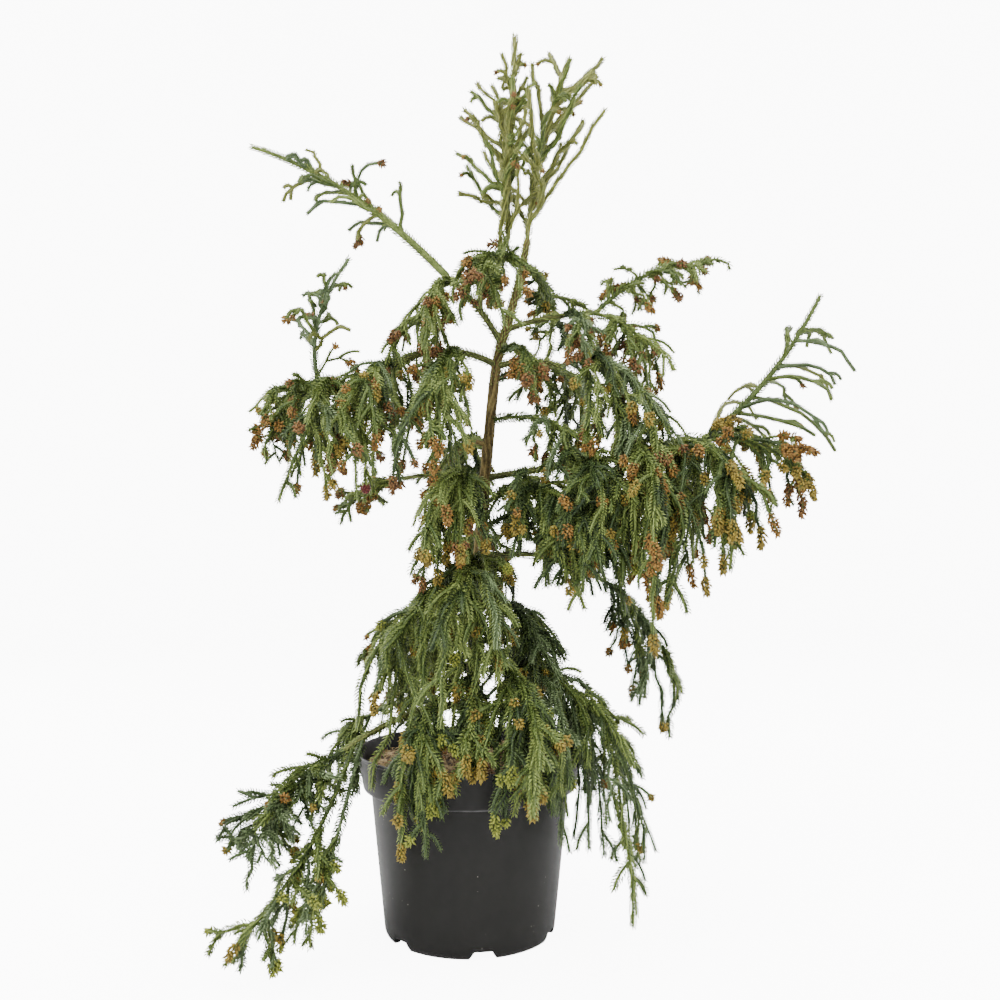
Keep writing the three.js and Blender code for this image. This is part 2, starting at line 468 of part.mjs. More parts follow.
function trunkRadius(share) {
  const above = trunkCurve.getPoint(share).z - SOIL_TOP;
  const flare = ROOT_FLARE.extra * Math.exp(-above / ROOT_FLARE.fade);
  return mix(TRUNK_FOOT_RADIUS, TRUNK_TOP_RADIUS, share) + flare;
}

function rootLobes(station, angle) {
  const fade = Math.exp(-station * trunkCurve.getLength() / ROOT_FLARE.height);
  return 1 + ROOT_FLARE.lobeDepth * fade * Math.cos(ROOT_FLARE.lobes * angle);
}

limbs.set('trunk', {
  curve: trunkCurve, radiusAt: trunkRadius, sides: TRUNK_SIDES, rings: TRUNK_RINGS, lobes: rootLobes,
});

for (const bough of BOUGHS) {
  const parent = limbs.get(bough.on);
  const start = parent.curve.getPoint(shareOn(bough.on, bough.from));
  const curve = arch(start, at(...bough.to), at(...bough.rise));
  const radiusAt = (share) => mix(bough.radius[0], bough.radius[1], share);
  limbs.set(bough.name, { curve, radiusAt, sides: BOUGH_SIDES, rings: BOUGH_RINGS, lobes: () => 1 });
}

// ======================= Room that is already taken =======================

const taken = [];

// Shortest distance between segments a-b and c-d.
function segmentGap(a, b, c, d) {
  const [u, v, w] = [b.clone().sub(a), d.clone().sub(c), a.clone().sub(c)];
  const [uu, uv, vv, uw, vw] = [u.dot(u), u.dot(v), v.dot(v), u.dot(w), v.dot(w)];
  const det = uu * vv - uv * uv;
  let s = det > PARALLEL_TOLERANCE ? THREE.MathUtils.clamp((uv * vw - vv * uw) / det, 0, 1) : 0;
  const t = THREE.MathUtils.clamp((uv * s + vw) / vv, 0, 1);
  s = THREE.MathUtils.clamp((uv * t - uw) / uu, 0, 1);
  return w.addScaledVector(u, s).addScaledVector(v, -t).length();
}

function isFree(from, to, radius, room) {
  const middle = from.clone().lerp(to, 0.5);
  const half = from.distanceTo(to) / 2;
  return room.every((other) => {
    const keep = other.radius + radius + CLEARANCE;
    return other.middle.distanceTo(middle) > other.half + half + keep
      || segmentGap(from, to, other.from, other.to) > keep;
  });
}

function take(from, to, radius, owner, isTwig = false) {
  const middle = from.clone().lerp(to, 0.5);
  const half = from.distanceTo(to) / 2;
  taken.push({ from: from.clone(), to: to.clone(), middle, half, radius, owner, isTwig });
}

function takeAlong(curve, radiusAt, steps, owner) {
  for (let i = 0; i < steps; i++) {
    const radius = Math.max(radiusAt(i / steps), radiusAt((i + 1) / steps));
    take(curve.getPoint(i / steps), curve.getPoint((i + 1) / steps), radius, owner);
  }
}

// A point beside the pot slides out along its wall; null where the pot or the floor is in the way.
function clearOfPot(point, radius) {
  if (point.z < FLOOR_CLEARANCE + radius) return null;
  const wall = RIM_RADIUS + radius + CLEARANCE;
  const outward = Math.hypot(point.x, point.y);
  if (outward >= wall || point.z > POT_HEIGHT + radius + CLEARANCE) return point;
  if (outward < RIM_RADIUS - RIM_SLIDE) return null;
  return at(point.x * wall / outward, point.y * wall / outward, point.z);
}

// Whether the middle of a step is clear of the pot too.
function passesPot(from, to, radius) {
  const middle = from.clone().lerp(to, 0.5);
  return clearOfPot(middle, radius * PASSING_SHARE) === middle;
}

// ======================= Growth rule =======================

// Seeded random numbers from 0 to 1 (mulberry32).
function seeded(seed) {
  let state = seed >>> 0;
  return () => {
    state = (state + 0x6d2b79f5) >>> 0;
    let mixed = Math.imul(state ^ (state >>> 15), state | 1);
    mixed = (mixed + Math.imul(mixed ^ (mixed >>> 7), mixed | 61)) ^ mixed;
    return ((mixed ^ (mixed >>> 14)) >>> 0) / 4294967296;
  };
}

// Every twig that the rule draws for a mass, before any room is tested.
function drawTwigs(mass, stem) {
  const random = seeded(mass.seed);
  const upright = Math.abs(stem.v2.z - stem.v0.z) > UPRIGHT_SHARE * stem.v2.distanceTo(stem.v0);
  const twigs = [];
  for (let i = 0; i < mass.count; i++) {
    const share = (i + 0.5) / mass.count;
    const along = mix(...mass.span, share + (random() - 0.5) * PLACE_JITTER / mass.count);
    const fan = (i * GOLDEN_SHARE) % 1 - 0.5 + (random() - 0.5) * FAN_JITTER;
    const facing = (mass.face ?? HANGING_FACE) + fan * (mass.spread ?? HANGING_SPREAD);
    const turn = THREE.MathUtils.degToRad(facing);
    const lean = THREE.MathUtils.degToRad(mass.lean * mix(...LEAN_RANGE, random()));
    const length = mix(...mass.reach, share) * mix(...REACH_RANGE, random());
    const bearsCones = random() < mass.cones;
    const coneLength = mix(...CONE_LENGTH, random());
    const drift = at(random() - 0.5, random() - 0.5, 0).multiplyScalar(WANDER);
    const tangent = stem.getTangent(along);
    const side = (upright ? at(0, 1, 0) : tangent).clone().cross(upright ? tangent : DOWN).normalize();
    const under = side.clone().cross(tangent).normalize();
    const heading = tangent.multiplyScalar(Math.cos(lean))
      .addScaledVector(side, Math.cos(turn) * Math.sin(lean))
      .addScaledVector(under, Math.sin(turn) * Math.sin(lean));
    const points = [stem.getPoint(along)];
    for (let step = 0; step < TWIG_STEPS; step++) {
      const curl = step >= TWIG_STEPS - HOOK_STEPS ? mass.hook : 0;
      const pull = mass.weep * (WEEP_AT_ROOT + step / TWIG_STEPS) + curl;
      heading.addScaledVector(DOWN, pull).add(drift).normalize();
      points.push(points.at(-1).clone().addScaledVector(heading, length / TWIG_STEPS));
    }
    twigs.push({ points, bearsCones, coneLength });
  }
  return twigs;
}

// The twigs of a mass that stay clear of the pot, the floor, every limb and every other mass.
function growTwigs(mass, stem) {
  const grown = [];
  const radius = mass.kind.needle;
  const strangers = taken.filter((other) => other.owner !== mass.name);
  const isSister = (other) => other.owner === mass.name && other.isTwig;
  for (const twig of drawTwigs(mass, stem)) {
    const points = [twig.points[0]];
    const sisters = taken.filter(isSister);
    for (const wanted of twig.points.slice(1)) {
      const next = clearOfPot(wanted, radius);
      if (!next || !passesPot(points.at(-1), next, radius)) break;
      if (!isFree(points.at(-1), next, radius, strangers)) break;
      const rivals = points.length >= CROWDED_STEPS ? sisters : [];
      if (!isFree(points.at(-1), next, -radius * SISTER_OVERLAP, rivals)) break;
      points.push(next);
    }
    if (points.length <= SHORTEST_TWIG_STEPS) continue;
    const [beforeTip, tip] = points.slice(-2);
    const onward = tip.clone().sub(beforeTip).normalize();
    const away = tip.clone().addScaledVector(onward, twig.coneLength * CONE_OVERHANG);
    const bearsCones = twig.bearsCones && isFree(tip, away, CONE_RADIUS, strangers)
      && clearOfPot(away, CONE_RADIUS) === away;
    for (let i = 1; i < points.length; i++) take(points[i - 1], points[i], radius, mass.name, i > 1);
    if (bearsCones) take(beforeTip, away, CONE_RADIUS, mass.name, true);
    grown.push({ ...twig, points, bearsCones });
  }
  return grown;
}

// Needles as teeth: the radius swings between the core and the needle tips.
function toothed(kind, teeth) {
  const rows = [];
  for (let tooth = 0; tooth < teeth; tooth++) {
    rows.push([(tooth + TWIG_TOOTH.peak) / teeth, kind.needle * mix(1, TWIG_TOOTH.taper, tooth / teeth)]);
    if (tooth < teeth - 1) rows.push([(tooth + TWIG_TOOTH.valley) / teeth, kind.core]);
  }
  return rows;
}

function twigSolid(twig, kind) {
  const curve = new THREE.CatmullRomCurve3(twig.points);
  const rows = kind.teeth ? toothed(kind, kind.teeth)
    : SMOOTH_TWIG.map(([station, share]) => [station, share * kind.core]);
  return bentLathe(curve, rows, TWIG_SIDES, { twist: kind.teeth ? TWIST_PER_RING : 0, pointed: true });
}

// A cluster of cones: a stretched lump round the twig's tip.
function coneSolid(twig) {
  const [before, tip] = twig.points.slice(-2);
  const heading = tip.clone().sub(before).normalize();
  const lump = new THREE.IcosahedronGeometry(1, 0).scale(CONE_RADIUS, CONE_RADIUS, twig.coneLength / 2);
  const turn = new THREE.Quaternion().setFromUnitVectors(at(0, 0, 1), heading);
  const centre = tip.clone().addScaledVector(heading, -twig.coneLength * CONE_SET_BACK);
  return solidOf(lump.applyQuaternion(turn).translate(centre.x, centre.y, centre.z));
}

// The stem starts bare inside its limb's end, carries needles further out and ends in a tip.
function stemRows(mass, rootRadius, length) {
  const rows = [[0, rootRadius]];
  const teeth = Math.max(2, Math.round(length / STEM_TOOTH.pitch));
  for (let tooth = 0; tooth < teeth; tooth++) {
    const share = (tooth + STEM_TOOTH.first) / (teeth + STEM_TOOTH.bareEnd);
    const core = mix(rootRadius, STEM_TIP_RADIUS, share);
    rows.push([share, Math.max(core, mix(mass.leafy, STEM_TIP_NEEDLE, share))]);
    if (tooth < teeth - 1) rows.push([share + STEM_TOOTH.valley / teeth, core]);
  }
  return rows;
}

function massSolid(mass) {
  const { stem, parent, rootRadius } = mass;
  const rows = stemRows(mass, rootRadius, stem.getLength());
  const pieces = [bentLathe(stem, rows, STEM_SIDES, { pointed: true })];
  for (const twig of growTwigs(mass, stem)) {
    pieces.push(twigSolid(twig, mass.kind));
    if (twig.bearsCones) pieces.push(coneSolid(twig));
  }
  return largestPiece(wasm.Manifold.union(pieces).subtract(limbSolid(parent, FIT_GAP)));
}

// ======================= Assembly =======================

const materials = Object.fromEntries(Object.entries(COLOURS).map(([key, colour]) => {
  const roughness = key === 'pot' ? PLASTIC_ROUGHNESS : PLANT_ROUGHNESS;
  return [key, new THREE.MeshStandardMaterial({ color: colour, roughness, metalness: 0 })];
}));

const plant = new THREE.Group();

function addNode(name, solid, material) {
  const mesh = new THREE.Mesh(geometryOf(solid), material.clone());
  mesh.name = name;
  plant.add(mesh);
}

addNode('pot', potSolid(), materials.pot);
addNode('soil', soilSolid(), materials.soil);
const [cutWidth, cutDepth] = TRUNK_CUT_BOX;
const below = new THREE.BoxGeometry(cutWidth, cutWidth, cutDepth)
  .translate(0, 0, SOIL_TOP + FIT_GAP - cutDepth / 2);
addNode('trunk', limbSolid(limbs.get('trunk')).subtract(solidOf(below)), materials.bark);

for (const bough of BOUGHS) {
  const room = limbSolid(limbs.get(bough.on), FIT_GAP);
  addNode(bough.name, largestPiece(limbSolid(limbs.get(bough.name)).subtract(room)), materials.bark);
}

for (const [name, limb] of limbs) takeAlong(limb.curve, limb.radiusAt, 2 * limb.rings, name);

for (const mass of MASSES) {
  mass.parent = limbs.get(mass.on);
  const share = shareOn(mass.on, mass.from);
  mass.stem = arch(mass.parent.curve.getPoint(share), at(...mass.to), at(...mass.rise));
  mass.rootRadius = Math.min(mass.parent.radiusAt(share) * STEM_ROOT_SHARE, STEM_ROOT_RADIUS);
  takeAlong(mass.stem, () => mass.leafy, STEM_STEPS, mass.name);
}

for (const mass of MASSES) addNode(mass.name, massSolid(mass), materials[mass.kind.colour]);

export default plant;
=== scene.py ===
"""Potted weeping cryptomeria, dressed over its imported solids.

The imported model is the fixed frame. Every foliage mass, limb, the pot and its compost are
replaced by finer pieces that grow from the same named sizes by the same seeded rule, so each
one stays where its solid is. Sizes are in millimetres until a mesh is made, then in metres.
"""

from __future__ import annotations

import logging
import math
from dataclasses import dataclass, field
from enum import Enum
from typing import Callable, Iterable, Sequence

import bpy
import numpy as np
from mathutils import Matrix


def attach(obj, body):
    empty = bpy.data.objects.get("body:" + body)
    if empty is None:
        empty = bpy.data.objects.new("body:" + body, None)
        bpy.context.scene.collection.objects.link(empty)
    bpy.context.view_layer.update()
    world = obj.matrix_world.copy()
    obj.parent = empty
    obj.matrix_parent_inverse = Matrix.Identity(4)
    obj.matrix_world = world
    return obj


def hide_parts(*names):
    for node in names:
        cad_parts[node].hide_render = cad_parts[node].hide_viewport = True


LOG = logging.getLogger("cryptomeria")
MM = 0.001
DOWN = np.array((0.0, 0.0, -1.0))
Pair = tuple[float, float]
Vector3 = tuple[float, float, float]
Numbers = tuple[float, ...]
Socket = bpy.types.NodeSocket
Material = bpy.types.Material
Colour = tuple[float, float, float]
Array = np.ndarray
Random = np.random.Generator


# ===== Named options =====


class Slot(Enum):
    """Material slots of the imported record."""

    POT = "pot"
    SOIL = "soil"
    BARK = "bark"
    FRESH = "fresh_shoots"
    LEAF = "leaf_ropes"
    DEEP = "deep_needles"


class Tone(Enum):
    """Plain greens that sprays are dealt, as (base colour, tip colour, record slot). On a needle the base
    colour is partly painted shade at its foot, and the tip colour partly a painted highlight at its point.
    """

    FRESH = ((0.075, 0.090, 0.012), (0.390, 0.412, 0.125), Slot.FRESH)
    BRIGHT = ((0.042, 0.066, 0.008), (0.350, 0.436, 0.120), Slot.LEAF)
    MID = ((0.030, 0.054, 0.008), (0.244, 0.312, 0.079), Slot.LEAF)
    # A dark green; the sprays that hang in the crown's shadow are dealt much of it as painted shade.
    DEEP = ((0.012, 0.026, 0.006), (0.124, 0.180, 0.050), Slot.DEEP)
    GREY = ((0.032, 0.056, 0.014), (0.254, 0.335, 0.164), Slot.DEEP)

    def __init__(self, base: Colour, tip: Colour, slot: Slot) -> None:
        self.base, self.tip, self.slot = base, tip, slot


class ConeTone(Enum):
    """Plain colours of ripe and unripe cones, as (base colour, tip colour)."""

    RUST = ((0.042, 0.018, 0.005), (0.218, 0.110, 0.034))
    ORANGE = ((0.055, 0.026, 0.004), (0.290, 0.155, 0.032))
    OCHRE = ((0.055, 0.040, 0.004), (0.300, 0.220, 0.036))
    LIME = ((0.055, 0.070, 0.006), (0.290, 0.320, 0.050))
    CRIMSON = ((0.040, 0.006, 0.006), (0.150, 0.026, 0.020))

    def __init__(self, base: Colour, tip: Colour) -> None:
        self.base, self.tip = base, tip


class Habit(Enum):
    """Kinds of shoot.

    Sizes are the core radius at root and tip, needle length, needle width and space between
    needles along the shoot, all in millimetres, and the needle's lean off the shoot at its
    root and at its tip, in degrees. room is the radius that the solid of such a twig takes.
    """

    CORD = (1.95, 1.75, 4.4, 2.00, 0.44, 36.0, 28.0, 2.9)
    WHIP = (2.10, 1.60, 5.4, 1.75, 0.46, 54.0, 34.0, 4.8)
    ROPE = (1.80, 1.30, 5.0, 1.65, 0.53, 57.0, 34.0, 7.0)
    BUSH = (2.10, 1.50, 6.2, 1.85, 0.56, 59.0, 36.0, 10.8)
    THREAD = (1.45, 1.15, 4.0, 1.45, 0.52, 52.0, 32.0, 5.0)

    def __init__(self, root: float, tip: float, needle: float, width: float, pitch: float,
                 lean_root: float, lean_tip: float, room: float) -> None:
        self.root, self.tip, self.needle, self.width, self.pitch = root, tip, needle, width, pitch
        self.lean_root, self.lean_tip = math.radians(lean_root), math.radians(lean_tip)
        self.room = room


@dataclass(frozen=True)
class Mix:
    """What the sprays of a region are dealt.

    Attributes:
        tones: share of each green.
        cones: share of each cone colour.
        thread: share of twigs that stay thin: cords on the whips.
        fruiting: how many times more twigs bear cones than in the solids.
        finer: finer twigs for each twig of the solids.
        side: side twiglets per twig.
        twiglet: least and most length of a side twiglet.
        cluster: least and most length of a side twiglet's cone cluster.
        side_fruiting: share of side twiglets that bear cones.
        tip_cluster: least and most length of a twig's cone cluster.
        curl: how much side twiglets curl down.
        vigour: scale of the needles.
    """

    tones: dict[Tone, float]
    cones: dict[ConeTone, float]
    thread: float = 0.2
    fruiting: float = 2.0
    finer: float = 1.2
    side: float = 1.6
    twiglet: Pair = (12.0, 36.0)
    cluster: Pair = (7.0, 13.0)
    side_fruiting: float = 0.2
    tip_cluster: Pair = (16.0, 30.0)
    curl: float = 0.0
    vigour: float = 1.0


FRESH, BRIGHT, MID, DEEP, GREY = Tone
RUST, ORANGE, OCHRE, LIME, _ = ConeTone


class Palette(Enum):
    """Regions of the crown, each with its own mix of colours and shoots."""

    CROWN = Mix({FRESH: 0.7, BRIGHT: 0.3}, {ORANGE: 0.6, RUST: 0.4},
                0, 2, 0.5, 1.3, (10, 22), (2.6, 3.6), 0.35, (4, 6), 0.8)
    WHIP = Mix({FRESH: 0.2, BRIGHT: 0.3, MID: 0.2, GREY: 0.3},
               {RUST: 0.7, ORANGE: 0.3}, 0.9, 1.6, 0.45, 1.3,
               (9, 22), (3, 6), 0.25, (7, 12), 0.5, 0.68)
    UPPER = Mix({BRIGHT: 0.55, MID: 0.35, GREY: 0.1},
                {RUST: 0.8, ORANGE: 0.2}, 0.4, 1.5, 1.4, 2.3,
                (12, 34), (6, 10), 0.42, (10, 18))
    MIDDLE = Mix({BRIGHT: 0.34, MID: 0.44, DEEP: 0.12, GREY: 0.1},
                 {RUST: 0.35, ORANGE: 0.4, OCHRE: 0.25},
                 0.4, 1.8, 1.3, 2.3, (12, 34), (6, 11), 0.34, (10, 19))
    RIGHT = Mix({BRIGHT: 0.22, MID: 0.5, DEEP: 0.28},
                {ORANGE: 0.4, OCHRE: 0.48, RUST: 0.12},
                0.35, 2.5, 1.4, 2.1, (12, 32), (9, 16), 0.56, (17, 29))
    COLUMN = Mix({BRIGHT: 0.52, MID: 0.38, DEEP: 0.1},
                 {OCHRE: 0.4, ORANGE: 0.4, RUST: 0.2}, 0.3, 1.8, 1.6, 2.4,
                 (12, 32), (7, 13), 0.4, (12, 22))
    # Mostly the dark green, as painted shade inside the crown.
    CENTRE = Mix({BRIGHT: 0.14, MID: 0.34, DEEP: 0.52},
                 {OCHRE: 0.6, ORANGE: 0.4}, 0.2, 1.3, 3.2, 2.8,
                 (14, 36), (6, 11), 0.18, (9, 18))
    SKIRT = Mix({BRIGHT: 0.36, MID: 0.42, DEEP: 0.12, GREY: 0.1},
                {OCHRE: 0.75, LIME: 0.15, ORANGE: 0.1},
                0.2, 1.7, 1.4, 2.8, (14, 38), (7, 12), 0.15, (12, 22))
    # Mostly the dark green, as painted shade under the upper skirt.
    RIM = Mix({BRIGHT: 0.04, MID: 0.34, DEEP: 0.54, GREY: 0.08},
              {OCHRE: 0.65, LIME: 0.35},
              0.2, 2.4, 2, 2.6, (12, 34), (8, 13), 0.24, (14, 24))
    STRANDS = Mix({GREY: 0.56, MID: 0.26, DEEP: 0.18},
                  {OCHRE: 0.5, ORANGE: 0.5}, 0.35, 1, 1.5, 2,
                  (12, 30), (5, 9), 0.08, (8, 14), vigour=1.3)
    TIPS = Mix({MID: 0.3, GREY: 0.5, BRIGHT: 0.2},
               {LIME: 0.7, OCHRE: 0.3}, 0.5, 2.6, 0.8, 1.3,
               (10, 26), (6, 10), 0.24, (10, 16), vigour=1.12)
    BACK = Mix({BRIGHT: 0.28, MID: 0.47, DEEP: 0.25},
               {ORANGE: 0.6, OCHRE: 0.4}, 0.25, 1.5, 1.5, 2.2,
               (14, 36), (6, 10), 0.2, (9, 16))


# ===== Sizes, in millimetres =====


@dataclass(frozen=True)
class PotSizes:
    """Outer sizes of the thin moulded tub."""

    height: float = 179.0
    wall: float = 1.8
    rim: float = 113.0
    collar_foot_z: float = 144.0
    collar_foot: float = 105.8
    body_top: float = 98.4
    body_foot: float = 84.6
    rounding: float = 3.5
    base_rise: float = 7.5
    foot_ring: float = 76.0
    pad: float = 28.0
    notches: int = 6
    notch_foot: float = 13.4
    notch_top: float = 8.6
    notch_turn_deg: float = 10.0
    drain_radius: float = 6.0
    drain_circle: float = 52.0


@dataclass(frozen=True)
class SoilSizes:
    """Sizes of the compost and what lies on it."""

    top: float = 168.0
    edge_drop: float = 4.0
    radius: float = 106.6
    bark_chips: int = 520
    dry_needles: int = 1500
    fallen_cones: int = 70


@dataclass(frozen=True)
class Bough:
    """One tapering limb: its parent, where it leaves it, its end, its arch and its radii."""

    name: str
    on: str
    start: float
    to: Vector3
    rise: Vector3
    radius: Pair


@dataclass(frozen=True)
class Mass:
    """One spray of hanging twigs: its stem as for a bough, then the rule of its twigs.

    span is the share of the stem that bears count twigs, and reach their lengths at its ends.
    They lean off it by lean degrees, in a fan round it whose middle is face and whose width is
    spread. weep pulls them down and hook their tips. cones is the share that bears cones, and
    leafy the stem's radius.
    """

    name: str
    on: str
    start: float
    to: Vector3
    rise: Vector3
    habit: Habit
    palette: Palette
    seed: int
    count: int
    span: Pair
    reach: Pair
    lean: float
    weep: float
    hook: float
    cones: float
    leafy: float
    face: float = 90.0
    spread: float = 300.0


TRUNK_LINE: tuple[Vector3, ...] = (
    (0, 0, 162), (4, -1, 270), (12, 0, 410), (18, 1, 482), (27, 3, 564), (39, 4, 608),
    (50, 5, 650), (58, 5, 690),
)
TRUNK_RADII = (7.0, 2.7)
ROOT_FLARE = {"extra": 5.0, "height": 26.0, "lobes": 3, "depth": 0.16, "fade": 22.0}
LEAFY_TRUNK_FROM = 522.0
TRUNK_STUBS = ((482, 200.0, 7.0), (330, 20.0, 5.0), (245, 140.0, 6.0), (420, -60.0, 5.0))

CORD, WHIP, ROPE, BUSH = list(Habit)[:4]

BOUGHS: tuple[Bough, ...] = (
    Bough("left_limb", "trunk", 584, (-24, -8, 650), (0, 0, 7), (3.0, 2.3)),
    Bough("left_leader", "left_limb", 0.4, (39, 6, 690), (-7, 0, 0), (2.6, 2.3)),
    Bough("upper_right_bough", "trunk", 598, (128, 12, 616), (0, 0, 4), (2.7, 2.2)),
    Bough("middle_right_bough", "trunk", 561, (92, -28, 557), (0, 0, 5), (2.8, 2.3)),
    Bough("middle_left_bough", "trunk", 562, (-84, -24, 553), (0, 0, 17), (3.0, 2.4)),
    Bough("outer_left_bough", "middle_left_bough", 1, (-150, -40, 527), (0, 0, -3), (2.2, 1.9)),
    Bough("low_left_twig_bough", "trunk", 447, (-70, 24, 449), (0, 0, 4), (2.2, 1.8)),
    Bough("lower_right_bough", "trunk", 449, (228, -14, 482), (0, -2, 0), (3.2, 2.4)),
    Bough("lowest_right_bough", "trunk", 368, (135, 28, 345), (0, 0, 14), (2.4, 1.9)),
    Bough("lowest_left_bough", "trunk", 224, (-120, -56, 187), (0, 0, 12), (3.0, 2.4)),
)

